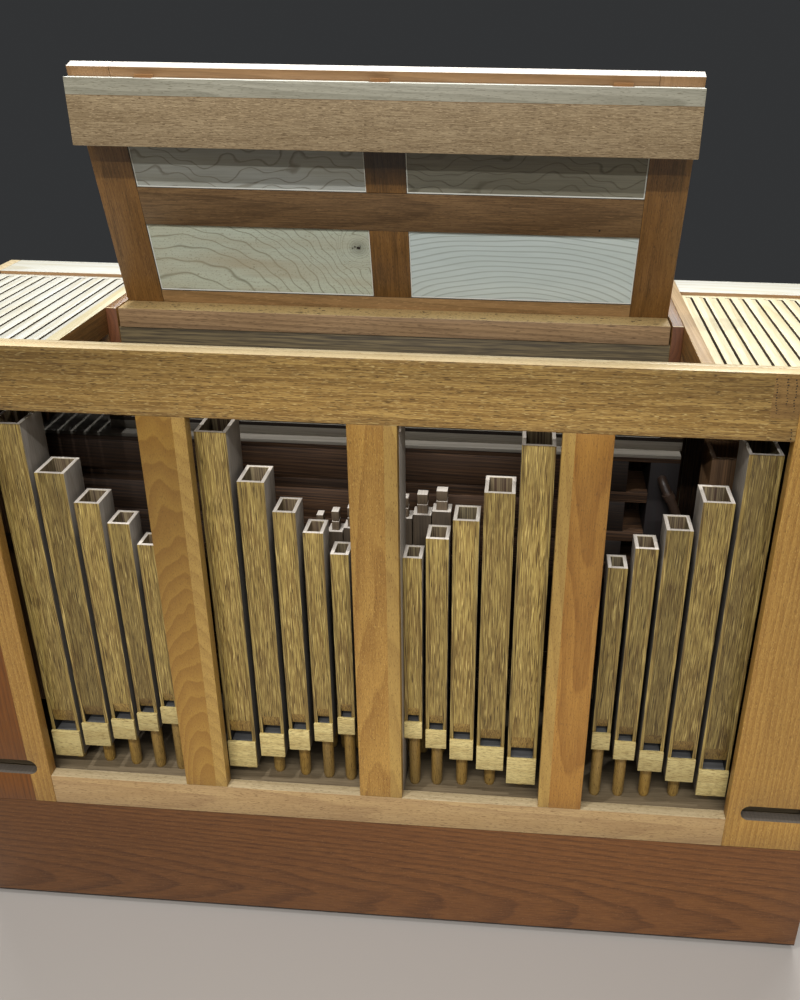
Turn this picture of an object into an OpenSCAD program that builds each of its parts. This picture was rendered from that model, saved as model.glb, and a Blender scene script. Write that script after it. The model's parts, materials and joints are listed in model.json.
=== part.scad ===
// Chest organ in beech: a low case on a dark plinth, open at the front on four bays of
// wooden pipes, slotted grilles in the top, and a framed lid that folds over the keyboard.
// X runs to the right seen from the pipe front, which faces -Y; the player sits at +Y.

/* [Case] */
// Width of the case over its side panels
case_w = 1380; // [1300:10:1500]
// Depth of the case from the pipe front to the back boards
case_d = 461; // [440:1:520]
// Height of the case from the underside of the plinth to its top
case_h = 994; // [960:1:1060]
// Thickness of the front and back frames
frame_t = 20; // [16:1:24]
// Thickness of the side panels
side_t = 18; // [12:1:22]
// Width of the solid panels at the two ends of the front
end_w = 149; // [120:1:160]
// Height of the rail over the pipes
top_rail_h = 90; // [70:1:110]
// Height of the rail under the pipes
bottom_rail_h = 56; // [40:1:70]
// Width of the three posts between the bays
post_w = 67; // [50:1:80]
// Distance from the middle post to the other two
post_pitch = 282; // [260:1:300]

/* [Plinth] */
// Height of the plinth boards
plinth_h = 212; // [150:1:240]
// Height of the runners that the plinth stands on
runner_h = 10; // [6:1:20]
// Width of the runners
runner_w = 60; // [30:1:90]
// How far the runners stand back from the plinth faces
runner_inset = 12; // [5:1:30]
// Thickness of the deck on top of the plinth
deck_t = 18; // [12:1:24]

/* [Hand slots] */
// Length of the hand slots in the end panels
slot_len = 106; // [90:1:110]
// Height of the hand slots
slot_h = 28; // [22:1:34]
// Height of the middle of a slot over the plinth
slot_up = 71; // [60:1:80]
// Distance from a slot to the pipe side of its panel
slot_edge = 21; // [15:1:25]

/* [Top] */
// Thickness of the strip behind the top rail
lining_t = 10; // [8:1:14]
// Height of the strips and borders round the top openings
border_h = 39; // [30:1:50]
// Thickness of the borders along the well
border_t = 18; // [12:1:24]
// Half width of the open well between the borders
well_half = 417; // [410:1:425]
// Width of the ledges that carry the grilles
ledge = 10; // [6:1:14]
// Thickness of the grilles
grille_t = 12; // [8:1:16]
// Depth of the grille faces below the top of the case
grille_drop = 5; // [2:1:8]
// Width of the boards behind the grilles
back_board_w = 76; // [60:1:90]
// Distance between the slots of a grille
grille_pitch = 20; // [16:1:30]
// Distance from the sides of a grille to its outer slots
grille_side = 16; // [10:1:20]
// Width of a slot
grille_slot_w = 3.6; // [2.5:0.1:6]
// Distance from a slot's end to the edge of its grille
grille_end = 12; // [8:1:25]
// Length of the small side cut at each end of a slot
grille_tail = 8; // [5:1:12]

/* [Front pipes] */
// Distance from the front of the case to the pipe fronts
pipe_y = 35; // [28:1:45]
// Widths of the five pipes in a bay, the shortest first
pipe_w = [28, 32.5, 37, 43, 46]; // [20:0.5:50]
// Widths in the left middle bay, which holds slimmer pipes
pipe_slim_w = [27, 29.5, 33, 39, 45]; // [20:0.5:50]
// Depths of the five pipes
pipe_d = [39, 43, 49, 57, 66]; // [30:1:80]
// Heights of their top ends over the underside of the plinth
pipe_top = [688, 721, 752, 797, 870]; // [600:1:880]
// Heights of the underside of their caps
cap_low = [365, 348, 328, 311, 286]; // [280:1:400]
// Heights of their caps
cap_h = [31, 34, 38, 44, 50]; // [25:1:60]
// Heights of their mouths
mouth_h = [9, 10, 11.5, 13, 17]; // [6:0.5:24]
// Thickness of the pipe walls
wall_t = 5.5; // [4:0.5:8]
// Thickness of the caps
cap_t = 5; // [3:0.5:8]
// Width of the wind slit behind a cap
windway = 1.5; // [0.5:0.1:3]
// Diameter of the feet
foot_dia = 18; // [14:0.5:20]
// Gap between the pipes of the outer bays
outer_gap = 7.3; // [4:0.1:9]
// Gap between the pipes of the left middle bay
slim_gap = 8.5; // [4:0.1:9]
// Gap between the pipes of the right middle bay
middle_gap = 5.5; // [4:0.1:7]

/* [Wind chest] */
// Thickness of the toe board that the pipes stand on
toe_t = 22; // [16:1:30]
// Depth of the toe board's face below the top of the bottom rail
toe_drop = 11; // [6:1:20]
// Diameter of the wind holes under the feet
toe_hole = 6; // [4:0.5:8]

/* [Rear pipes] */
// Number of small stopped pipes behind the middle bays
rear_count = 8; // [4:1:9]
// Distance from the front of the case to the rear pipes
rear_y = 118; // [112:1:124]
// Width and depth of the largest rear pipe
rear_w = 28; // [22:0.5:32]
// Height of the largest rear pipe's rim
rear_top = 722; // [680:1:740]
// How much lower each next rear pipe is
rear_step = 7; // [4:1:12]
// Height of the rear pipe bodies' underside
rear_low = 420; // [380:1:460]

/* [Bass pipes] */
// Distance from the front of the case to the bass pipes
bass_front = 170; // [160:1:190]
// Depth of the bass pipes
bass_d = 80; // [60:1:90]
// Height of a bass pipe
bass_h = 50; // [40:1:60]
// Number of bass pipes one over another
bass_count = 3; // [2:1:4]
// Thickness of the boards between them
bass_board_t = 17; // [10:1:20]
// Thickness of the bass pipes' walls
bass_wall = 9; // [6:0.5:12]
// Distance from the middle of the case to the bass pipes' left end
bass_left = 545; // [520:1:550]
// Distance from the middle of the case to their right end
bass_right = 357; // [340:1:370]
// Distance from the bass pipes' right end to the board that ends the stack
bass_gap = 32; // [20:1:40]
// Width of that board
bass_end_w = 43; // [30:1:50]
// Diameter of the wind tube that leaves it
tube_dia = 14; // [12:0.5:18]
// Slope of the tube's upper end against the vertical
tube_slope = 28; // [10:1:40]
// Radius of the tube's long bend
tube_bend = 340; // [250:10:450]
// Width of the two pipes in the corners
corner_w = 72; // [60:1:80]
// Depth of the two pipes in the corners
corner_d = 75; // [60:1:80]
// Height of their rims over the underside of the plinth
corner_top = 812; // [780:1:840]

/* [Keyboard] */
// Number of natural keys
natural_count = 32; // [24:1:33]
// Width of a natural key with its gap
natural_pitch = 23.5; // [22:0.1:24]
// Length of the keys in front of the name board
key_len = 130; // [110:1:150]
// Length of the sharps in front of the name board
sharp_len = 82; // [70:1:95]
// Width of the sharps
sharp_w = 10; // [8:0.5:12]
// Height of the sharps over the naturals
sharp_h = 12; // [8:0.5:14]
// Height of the natural keys
key_h = 22; // [16:1:26]
// Length of a natural key with its tail under the name board
key_long = 250; // [230:1:270]
// Depth of the name board
name_t = 18; // [14:1:20]
// Height of the name board's top over the naturals
name_up = 48; // [40:1:60]
// Thickness of the shelf behind the name board
shelf_t = 14; // [10:1:18]
// Depth of the key tops below the top of the case
key_drop = 99; // [90:1:110]
// Thickness of the key bed
bed_t = 20; // [16:1:30]
// Thickness of the cheeks beside the keyboard
cheek_t = 16.5; // [12:0.5:18]

/* [Lid] */
// Length of the lid
lid_len = 374; // [340:1:400]
// Width of the lid
lid_w = 797; // [760:1:800]
// Thickness of the lid
lid_t = 18; // [14:1:22]
// Width of its stiles, rails and muntins
lid_member = 55; // [40:1:70]
// Thickness of its panels
lid_panel_t = 8; // [5:1:10]
// Depth of the panels below the lid's outer face
lid_panel_drop = 3; // [1:0.5:6]
// How far the open lid leans past upright
lid_lean = 16.5; // [10:0.5:20]
// Length of the open lid below the top of the case
lid_sunk = 35.4; // [30:0.1:42]
// Depth of the rail that the open lid leans on
rail_d = 42.3; // [36:0.1:50]
// Height of that rail
rail_h = 28; // [20:1:36]
// Clearance between the lid's stiles and the cheeks
lid_side_gap = 2.5; // [2:0.1:4]
// Diameter of the pivots at the foot of the lid
pivot_dia = 8; // [5:0.5:10]
// Distance from the pivots to the lid's lower edge
pivot_edge = 9.5; // [8:0.5:12]

/* [Flap] */
// Height of the flap at the head of the lid
flap_h = 81.5; // [60:0.5:100]
// Thickness of the flap
flap_t = 15; // [12:1:18]
// Distance from the flap's pins to the head of the lid
flap_pin_edge = 16.5; // [14:0.5:24]
// Distance from the flap's pins to its upper edge
flap_pin_top = 7; // [6:0.5:9]
// Distance from the flap's pins to the face of the lid
flap_pin_out = 10.8; // [10.5:0.1:14]

/* [Hidden] */
$fn = 48;
seat = 0.3;

beech = "#9a733e";
dark_beech = "#704726";
walnut = "#6e462c";
pale = "#ede9d6";
pipe_wood = "#8a7440";
light_wood = "#bfa56b";
grey_wood = "#a8a29a";
chest_wood = "#4f463b";
inner_wood = "#33241a";
panel_wood = "#afac96";
brass = "#b08d4f";

half_w = case_w / 2;
inner_half = half_w - side_t;
front_half = half_w - end_w;
rail_low = case_h - top_rail_h;
rail_top = plinth_h + bottom_rail_h;
toe_top = rail_top - toe_drop;
border_out = well_half + border_t;
back_board_y = case_d - back_board_w;
lining_y = frame_t + lining_t;
grille_top = case_h - grille_drop;

// The open lid rests with its outer face on the back edge of the desk rail
desk_y = 189;
rail_back = desk_y + rail_d;
lean_y = -sin(lid_lean);
lean_z = cos(lid_lean);
pivot_s = pivot_edge - lid_sunk;
pivot_y = rail_back + seat + lean_y * pivot_s + lean_z * lid_t / 2;
pivot_z = case_h + lean_z * pivot_s - lean_y * lid_t / 2;
slip_t = 14;
lid_front_gap = 4;
desk_end = pivot_y + lid_len - pivot_edge + lid_front_gap;
overall_d = desk_end;

natural_top = case_h - key_drop;
key_frame_h = 48;
bed_top = natural_top - key_h - key_frame_h;
key_front = desk_end - slip_t - 2;
key_half = natural_count * natural_pitch / 2;
cheek_in = well_half - cheek_t;

module place() translate([0, -overall_d / 2, runner_h]) children();

module box(x, y, z) translate([x[0], y[0], z[0]]) cube([x[1] - x[0], y[1] - y[0], z[1] - z[0]]);

module both_sides() {
    children();
    mirror([1, 0, 0]) children();
}

// Plinth and runners

module base_runners() color(inner_wood) place() {
    for (y = [runner_inset, case_d - runner_inset - runner_w])
        box([-half_w + runner_inset, half_w - runner_inset], [y, y + runner_w], [-runner_h, 0]);
}

module plinth_front() color(walnut) place()
    box([-half_w, half_w], [0, frame_t], [0, plinth_h]);

module plinth_back() color(walnut) place()
    box([-half_w, half_w], [case_d - frame_t, case_d], [0, plinth_h]);

module plinth_sides() color(walnut) place() both_sides()
    box([inner_half, half_w], [frame_t, case_d - frame_t], [0, plinth_h]);

module plinth_deck() color(chest_wood) place()
    box([-inner_half, inner_half], [frame_t, case_d - frame_t], [plinth_h - deck_t, plinth_h]);

// Front frame

module front_bottom_rail() color(beech) place()
    box([-front_half, front_half], [0, frame_t], [plinth_h, rail_top]);

module front_top_rail() color(beech) place()
    box([-front_half, front_half], [0, frame_t], [rail_low, case_h]);

module front_post(x) color(beech) place()
    box([x - post_w / 2, x + post_w / 2], [0, frame_t], [rail_top, rail_low]);

module front_post_left() front_post(-post_pitch);
module front_post_centre() front_post(0);
module front_post_right() front_post(post_pitch);

module hand_slot() {
    x = front_half + slot_edge + slot_h / 2;
    z = plinth_h + slot_up;
    run = slot_len - slot_h;
    for (dx = [0, run]) translate([x + dx, -1, z]) rotate([-90, 0, 0])
        cylinder(d = slot_h, h = frame_t + 2);
    box([x, x + run], [-1, frame_t + 1], [z - slot_h / 2, z + slot_h / 2]);
}

module front_end_panel_right() color(beech) place() difference() {
    box([front_half, half_w], [0, frame_t], [plinth_h, case_h]);
    hand_slot();
}

module front_end_panel_left() mirror([1, 0, 0]) front_end_panel_right();

// Sides

module side_panel_right() color(beech) place()
    box([inner_half, half_w], [frame_t, case_d], [plinth_h, case_h]);

module side_panel_left() mirror([1, 0, 0]) side_panel_right();

// Top: lining, borders, grilles and the boards behind them

module top_lining() color(beech) place() {
    box([-inner_half, inner_half], [frame_t, lining_y], [case_h - border_h, case_h]);
    both_sides() box([border_out, inner_half], [lining_y, lining_y + ledge],
        [case_h - border_h, grille_top - grille_t]);
}

// The borders run down to the key bed beside the keyboard
module well_borders() color(light_wood) place() both_sides() {
    box([well_half, border_out], [lining_y, case_d], [case_h - border_h, case_h]);
    box([well_half, border_out], [desk_y, case_d], [bed_top, case_h]);
}

module top_back_boards() color(pale) place() both_sides() {
    box([border_out, inner_half], [back_board_y, case_d], [grille_top - grille_t, case_h]);
    box([border_out, inner_half], [back_board_y - ledge, back_board_y],
        [grille_top - grille_t - ledge, grille_top - grille_t]);
    box([border_out, inner_half], [back_board_y, back_board_y + frame_t],
        [grille_top - grille_t - ledge, grille_top - grille_t]);
}

tail_share = 0.7;

module grille_slot(x, y0, y1) {
    w = grille_slot_w;
    box([x - w / 2, x + w / 2], [y0, y1], [-1, grille_t + 1]);
    box([x, x + grille_tail], [y0, y0 + w * tail_share], [-1, grille_t + 1]);
    box([x - grille_tail, x], [y1 - w * tail_share, y1], [-1, grille_t + 1]);
}

module grille_right() color(pale) place() translate([0, 0, grille_top - grille_t]) difference() {
    x0 = border_out;
    x1 = inner_half;
    first = x0 + grille_side;
    count = floor((x1 - grille_side - first) / grille_pitch);
    box([x0, x1], [lining_y, back_board_y], [0, grille_t]);
    for (i = [0:count]) grille_slot(first + i * grille_pitch, lining_y + grille_end,
        back_board_y - grille_end);
}

module grille_left() mirror([1, 0, 0]) grille_right();

// Back frame, with plain panels in its openings

back_stile = 60;
panel_lap = 10;
panel_t = 10;
back_open_top = grille_top - grille_t - ledge;
bed_low = bed_top - bed_t;
mid_rail_low = bed_low - bottom_rail_h;

module back_openings(grow, y) {
    low = rail_top - grow;
    both_sides() {
        box([back_stile / 2 - grow, border_out + grow], y, [low, mid_rail_low + grow]);
        box([border_out + back_stile - grow, inner_half - back_stile + grow], y,
            [low, back_open_top - back_stile + grow]);
    }
}

module back_rails() color(beech) place() difference() {
    union() {
        box([-inner_half, inner_half], [case_d - frame_t, case_d], [plinth_h, rail_top]);
        box([-border_out, border_out], [case_d - frame_t, case_d], [mid_rail_low, bed_low]);
        both_sides() box([border_out + back_stile, inner_half - back_stile],
            [case_d - frame_t, case_d], [back_open_top - back_stile, grille_top - grille_t]);
    }
    back_openings(panel_lap, [case_d - frame_t - 1, case_d - frame_t + panel_t]);
}

module back_posts() color(beech) place() difference() {
    union() {
        box([-back_stile / 2, back_stile / 2], [case_d - frame_t, case_d],
            [rail_top, mid_rail_low]);
        both_sides() for (x = [border_out, inner_half - back_stile])
            box([x, x + back_stile], [case_d - frame_t, case_d],
                [rail_top, grille_top - grille_t]);
    }
    back_openings(panel_lap, [case_d - frame_t - 1, case_d - frame_t + panel_t]);
}

module back_panels() color(panel_wood) place()
    back_openings(panel_lap - seat, [case_d - frame_t, case_d - frame_t + panel_t]);

// Wind chest and toe board

chest_y = [frame_t + 1, 300];

module wind_chest() color(chest_wood) place() difference() {
    box([-inner_half, inner_half], chest_y, [plinth_h, toe_top - toe_t]);
    box([-inner_half + deck_t, inner_half - deck_t], [chest_y[0] + deck_t, chest_y[1] - deck_t],
        [plinth_h - 1, toe_top]);
}

// How far the tallest pipes reach behind an end panel and the left post, and stand clear
// of the right post
behind_panel = 1;
behind_post = 2.5;
clear_of_post = 5.5;

// Pipes of one bay: x of the tallest pipe's outer edge, direction to the next, gap, widths
bays = [
    [-front_half - behind_panel, 1, outer_gap, pipe_w],
    [-post_pitch + post_w / 2 - behind_post, 1, slim_gap, pipe_slim_w],
    [post_pitch - post_w / 2 - clear_of_post, -1, middle_gap, pipe_w],
    [front_half + behind_panel, -1, outer_gap, pipe_w]
];
sizes = len(pipe_w);

// Middle of pipe i of a bay: all taller pipes stand outside it
function taller(b, i) = i >= sizes - 1 ? 0 : b[3][i + 1] + b[2] + taller(b, i + 1);
function pipe_x(b, i) = b[0] + b[1] * (taller(b, i) + b[3][i] / 2);

module each_pipe() for (b = bays) for (i = [0:sizes - 1]) {
    $i = i;
    $w = b[3][i];
    translate([pipe_x(b, i), pipe_y, 0]) children();
}

// Left edge and front of the two pipes in the corners
corner_gap = 3;
corner_left = [-bass_left - corner_gap - corner_w, 116];
corner_right = [473, 150];
corners = [corner_left, corner_right];
corner_low = 330;

module each_corner() for (c = corners) translate([c[0], c[1], 0]) children();

rear_right = 83;
rear_gap = 1.6;
rear_slimmer = 0.9;
function rear_width(i) = rear_w - i * rear_slimmer;
function rear_x(i) = i == 0 ? rear_right
    : rear_x(i - 1) - (rear_width(i - 1) + rear_width(i)) / 2 - rear_gap;
function rear_rim(i) = rear_top - i * rear_step;

tip_depth = 3;
tip_dia = foot_dia - 6;
tip_taper = 9;

module foot_hole() {
    translate([0, 0, toe_top - tip_depth]) cylinder(d1 = tip_dia + 2 * seat,
        d2 = tip_dia + tip_depth + 2 * seat, h = tip_depth + 0.01);
    translate([0, 0, toe_top - toe_t - 1]) cylinder(d = toe_hole, h = toe_t + 1);
}

module toe_board() color(chest_wood) place() difference() {
    box([-inner_half, inner_half], chest_y, [toe_top - toe_t, toe_top]);
    each_pipe() translate([0, pipe_d[$i] / 2, 0]) foot_hole();
    for (i = [0:rear_count - 1]) translate([rear_x(i), rear_y + rear_w / 2, 0]) foot_hole();
    each_corner() translate([corner_w / 2, corner_d / 2, 0]) foot_hole();
}

// A turned foot: straight dowel with a tapered tip that sits in its countersunk hole
module foot(top) {
    tip = toe_top - tip_depth;
    r = foot_dia / 2;
    translate([0, 0, tip]) rotate_extrude() polygon([[0, 0], [tip_dia / 2, 0],
        [(tip_dia + tip_depth) / 2, tip_depth], [r, tip_taper], [r, top - tip], [0, top - tip]]);
}

// Front pipes

module pipe_walls() color(grey_wood) place() each_pipe() {
    low = cap_low[$i];
    h = pipe_top[$i] - low;
    translate([-$w / 2, 0, low]) difference() {
        cube([$w, pipe_d[$i], h]);
        translate([wall_t, -1, -1]) cube([$w - 2 * wall_t, pipe_d[$i] - wall_t + 1, h + 2]);
    }
}

// The front boards are shaved to a slope over the mouth, which gives the sharp upper lip
lip_t = 2.5;
lip_slope = 0.9;
lip_over = 8;

module pipe_fronts() color(pipe_wood) place() each_pipe() {
    low = cap_low[$i] + cap_h[$i] + mouth_h[$i];
    inner = $w - 2 * wall_t;
    lip_h = lip_slope * mouth_h[$i] + lip_over;
    h = pipe_top[$i] - low;
    translate([-inner / 2, 0, low]) rotate([90, 0, 90]) linear_extrude(inner) polygon([
        [wall_t - lip_t, 0], [wall_t, 0], [wall_t, h], [0, h], [0, lip_h]]);
}

module pipe_caps() color(light_wood) place() each_pipe()
    translate([-$w / 2, -cap_t, cap_low[$i]]) cube([$w, cap_t, cap_h[$i]]);

block_drop = 3;

module pipe_blocks() color(light_wood) place() each_pipe() {
    inner = $w - 2 * wall_t;
    translate([-inner / 2, windway, cap_low[$i]])
        cube([inner, pipe_d[$i] - wall_t - windway, cap_h[$i] - block_drop]);
}

module pipe_feet() color(pipe_wood) place() each_pipe()
    translate([0, pipe_d[$i] / 2, 0]) foot(cap_low[$i]);

rack_z = 632;
rack = [12, 22];
rack_y = pipe_y + pipe_d[sizes - 1];

module pipe_rack() color(light_wood) place()
    box([-inner_half, inner_half], [rack_y, rack_y + rack[0]], [rack_z, rack_z + rack[1]]);

// Small stopped pipes behind the middle bays

module each_rear() for (i = [0:rear_count - 1]) {
    $i = i;
    $w = rear_width(i);
    translate([rear_x(i), rear_y + rear_w / 2, 0]) children();
}

rear_wall = 5.5;
rear_block = 12;
stopper_in = 30;
stopper_steps = [14, 16.5, 31];

module rear_pipes() color(inner_wood) place() each_rear() {
    h = rear_rim($i) - rear_low;
    translate([-$w / 2, -rear_w / 2, rear_low]) difference() {
        cube([$w, rear_w, h]);
        translate([rear_wall, rear_wall, rear_block])
            cube([$w - 2 * rear_wall, rear_w - 2 * rear_wall, h]);
    }
}

module rear_stoppers() color(grey_wood) place() each_rear() {
    w = $w - 2 * rear_wall - 2 * seat;
    d = rear_w - 2 * rear_wall - 2 * seat;
    s = stopper_steps;
    translate([-w / 2, -d / 2, rear_rim($i)]) {
        translate([0, 0, -stopper_in]) cube([w, d, s[0] + stopper_in]);
        translate([1, 1, s[0]]) cube([w - 2, d - 2, s[1] - s[0]]);
        translate([0, 0, s[1]]) cube([w, d, s[2] - s[1]]);
    }
}

module rear_feet() color(pipe_wood) place() {
    each_rear() foot(rear_low);
    each_corner() translate([corner_w / 2, corner_d / 2, 0]) foot(corner_low);
}

// Two large open pipes in the corners, bored from the top
corner_wall = 7;
corner_block = 16;

module corner_pipes() color(inner_wood) place() each_corner() translate([0, 0, corner_low])
    difference() {
        cube([corner_w, corner_d, corner_top - corner_low]);
        translate([corner_wall, corner_wall, corner_block])
            cube([corner_w - 2 * corner_wall, corner_d - 2 * corner_wall, corner_top]);
    }

// A batten behind the middle post stiffens it
batten = [7, 65, 9];

module centre_batten() color(grey_wood) place()
    box([post_w / 2 + 0.5 - batten[0], post_w / 2 + 0.5], [frame_t, frame_t + batten[1]],
        [toe_top, rail_low - batten[2]]);

// Bass pipes that lie along the back, one over another between boards

bass_y = [bass_front, bass_front + bass_d];
bass_shelf_t = 12;
bass_top = bed_low - bass_shelf_t;
bass_end = bass_right + bass_gap;
bass_post_w = 32;
bass_step = bass_h + bass_board_t;
bass_low = bass_top - bass_count * bass_step;

module bass_pipes() color(inner_wood) place() for (i = [0:bass_count - 1]) {
    top = bass_top - i * bass_step;
    difference() {
        box([-bass_left, bass_right], bass_y, [top - bass_h, top]);
        box([-bass_left + bass_wall, bass_right + 1], [bass_y[0] + bass_wall, bass_y[1] - bass_wall],
            [top - bass_h + bass_wall, top - bass_wall]);
    }
}

// The top shelf carries the key bed and runs over the end board; the others stop at it
module bass_shelves() color(panel_wood) place() {
    box([-bass_left, bass_end + bass_end_w], bass_y, [bass_top, bass_top + bass_shelf_t]);
    for (i = [1:bass_count]) {
        top = bass_top - i * bass_step + bass_board_t;
        box([-bass_left, bass_end], bass_y, [top - bass_board_t, top]);
    }
}

module bass_posts() color(inner_wood) place() {
    for (x = [-bass_left, -bass_post_w / 2])
        box([x, x + bass_post_w], bass_y, [toe_top, bass_low]);
    box([bass_end, bass_end + bass_end_w], bass_y, [toe_top, bass_top]);
}

// The tube leaves the end board, turns down in a short bend and straightens in a long one,
// and a collar covers the joint of its two bends. It stands in from the board's left edge
// and from the shelf by the two lengths of tube_in
tube_elbow = 20;
tube_collar = [tube_dia + 3, 10];
tube_in = [12, 20];
tube_x = bass_end + tube_dia / 2 + tube_in[0];
tube_z = bass_top - tube_dia / 2 - tube_in[1];

module wind_tube() color(light_wood) place() translate([tube_x, bass_front, tube_z]) {
    drop = tube_elbow * cos(tube_slope);
    shift = tube_elbow * sin(tube_slope);
    low = drop + tube_bend * sin(tube_slope);
    translate([shift, 0, -drop]) rotate([180, -90 - tube_slope, 0]) rotate_extrude(angle = 90)
        translate([tube_elbow, 0]) circle(d = tube_dia);
    translate([shift - tube_bend * cos(tube_slope), -tube_elbow, -low]) rotate([90, 0, 0])
        rotate_extrude(angle = tube_slope) translate([tube_bend, 0]) circle(d = tube_dia);
    translate([shift, -tube_elbow, -drop]) rotate([0, -tube_slope, 0])
        cylinder(d = tube_collar[0], h = tube_collar[1], center = true);
    translate([shift + tube_bend * (1 - cos(tube_slope)), -tube_elbow, toe_top - tube_z])
        cylinder(d = tube_dia, h = tube_z - low - toe_top);
}

// Key desk

module desk_rail() color(dark_beech) place()
    box([-cheek_in + lid_side_gap, cheek_in - lid_side_gap], [desk_y, rail_back],
        [case_h - rail_h, case_h]);

desk_board_y = [desk_y + 2, desk_y + frame_t];

module desk_board() color(chest_wood) place()
    box([-cheek_in, cheek_in], desk_board_y, [bed_top, case_h - rail_h]);

cheek_round = 40;
pivot_hole = 13;

module key_cheeks() color(dark_beech) place() both_sides() difference() {
    r = cheek_round;
    translate([cheek_in, 0, 0]) rotate([90, 0, 90]) linear_extrude(cheek_t) {
        difference() {
            translate([desk_y, bed_top]) square([desk_end - desk_y, case_h - bed_top]);
            translate([desk_end - r, case_h - r]) square(r + 1);
        }
        translate([desk_end - r, case_h - r]) circle(r);
    }
    translate([cheek_in - 1, pivot_y, pivot_z]) rotate([0, 90, 0])
        cylinder(d = pivot_dia + 2 * seat, h = pivot_hole + 1);
}

module key_bed() color(panel_wood) place()
    box([-border_out, border_out], [desk_y, desk_end], [bed_low, bed_top]);

slip_drop = 8;

module key_slip() color(dark_beech) place()
    box([-cheek_in, cheek_in], [key_front + 2, desk_end], [bed_top, natural_top - slip_drop]);

key_back = key_front - key_long;
key_rail = 30;

module key_frame() color(light_wood) place() {
    for (y = [key_front - 2 * key_rail, key_back + key_rail / 3])
        box([-key_half, key_half], [y, y + key_rail], [bed_top, natural_top - key_h]);
}

block_up = 6;

module key_blocks() color(dark_beech) place() both_sides()
    box([key_half + 1, cheek_in], [key_front - key_len - name_t, key_front + 2],
        [bed_top, natural_top + block_up]);

// The sharps stand in slots between the tails of the naturals
octave = 7;
slot_w = sharp_w + 2;
key_gap = 1;
sharp_bevel = 5;
sharp_tail = 20;
c_tail = (3 * natural_pitch - 2 * slot_w) / 3;
f_tail = (4 * natural_pitch - 3 * slot_w) / 4;

// Left edges of the five slots in an octave
octave_slots = [c_tail, 2 * c_tail + slot_w,
    3 * natural_pitch + f_tail, 3 * natural_pitch + 2 * f_tail + slot_w,
    3 * natural_pitch + 3 * f_tail + 2 * slot_w];

module each_slot() for (o = [0:floor(natural_count / octave)]) for (s = octave_slots) {
    x = o * octave * natural_pitch + s;
    if (x + slot_w < natural_count * natural_pitch) translate([x - key_half, 0, 0]) children();
}

module natural_keys() color("#d8d2bc") place() difference() {
    for (k = [0:natural_count - 1])
        box([-key_half + k * natural_pitch + key_gap / 2,
            -key_half + (k + 1) * natural_pitch - key_gap / 2],
            [key_back, key_front], [natural_top - key_h, natural_top]);
    each_slot() box([0, slot_w], [key_back - 1, key_front - key_len + sharp_len],
        [natural_top - key_h - 1, natural_top + 1]);
}

module sharp_keys() color("#2a211b") place() each_slot()
    translate([1, 0, 0]) rotate([90, 0, 90]) linear_extrude(sharp_w) {
        front = key_front - key_len + sharp_len - 1;
        low = natural_top - key_h;
        back = key_front - key_len - sharp_tail;
        polygon([[key_back, low], [front, low], [front, natural_top],
            [front - sharp_bevel, natural_top + sharp_h], [back, natural_top + sharp_h],
            [back, natural_top], [key_back, natural_top]]);
    }

name_y = [key_front - key_len - name_t, key_front - key_len];
name_clear = 3;

module name_board() color(dark_beech) place()
    box([-cheek_in, cheek_in], name_y, [natural_top + sharp_h + name_clear, natural_top + name_up]);

module desk_shelf() color(dark_beech) place()
    box([-cheek_in, cheek_in], [desk_board_y[1], name_y[0]],
        [natural_top + name_up - shelf_t, natural_top + name_up]);

// Lid, modelled flat: u across, s along from the lower edge, outer face up

module on_lid() place() translate([0, pivot_y, pivot_z]) rotate([90 + lid_lean, 0, 0])
    translate([0, -pivot_edge, lid_t / 2]) children();

half_lid = lid_w / 2;
panel_s = (lid_len - 3 * lid_member) / 2;
panel_u = half_lid - lid_member - lid_member / 2;

module lid_openings(grow, depth) both_sides() for (row = [0, 1])
    translate([lid_member / 2 - grow, lid_member + row * (panel_s + lid_member) - grow, depth[0]])
        cube([panel_u + 2 * grow, panel_s + 2 * grow, depth[1] - depth[0]]);

lid_rebate = [-lid_t - 1, -lid_panel_drop];
pivot_in = 20;

module lid_stiles() color(dark_beech) on_lid() difference() {
    both_sides() translate([half_lid - lid_member, 0, -lid_t]) cube([lid_member, lid_len, lid_t]);
    lid_openings(panel_lap, lid_rebate);
    both_sides() translate([half_lid - pivot_in, pivot_edge, -lid_t / 2]) rotate([0, 90, 0])
        cylinder(d = pivot_dia, h = pivot_in + 1);
}

module lid_rails() color(dark_beech) on_lid() difference() {
    for (row = [0, 1, 2]) translate([-half_lid + lid_member, row * (panel_s + lid_member), -lid_t])
        cube([lid_w - 2 * lid_member, lid_member, lid_t]);
    lid_openings(panel_lap, lid_rebate);
}

module lid_muntins() color(beech) on_lid() difference() {
    for (row = [0, 1])
        translate([-lid_member / 2, lid_member + row * (panel_s + lid_member), -lid_t])
            cube([lid_member, panel_s, lid_t]);
    lid_openings(panel_lap, lid_rebate);
}

module lid_panels() color(panel_wood) on_lid()
    lid_openings(panel_lap - seat, [-lid_panel_drop - lid_panel_t, -lid_panel_drop]);

module lid_pivots() color(brass) on_lid() both_sides()
    translate([half_lid - pivot_in, pivot_edge, -lid_t / 2]) rotate([0, 90, 0])
        cylinder(d = pivot_dia, h = pivot_in + cheek_in - half_lid + pivot_hole - 1);

// Flap: it hangs upright from pins in lugs near the head of the lid

lug_w = 24;
lug_r = 4.5;
lug_leg = 5;
lug_foot = [16, 1.5];
pin_dia = 4;
lug_x = [-300, 0, 300];
notch_skin = 2.5;
flap_s = lid_len - flap_pin_edge;

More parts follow.
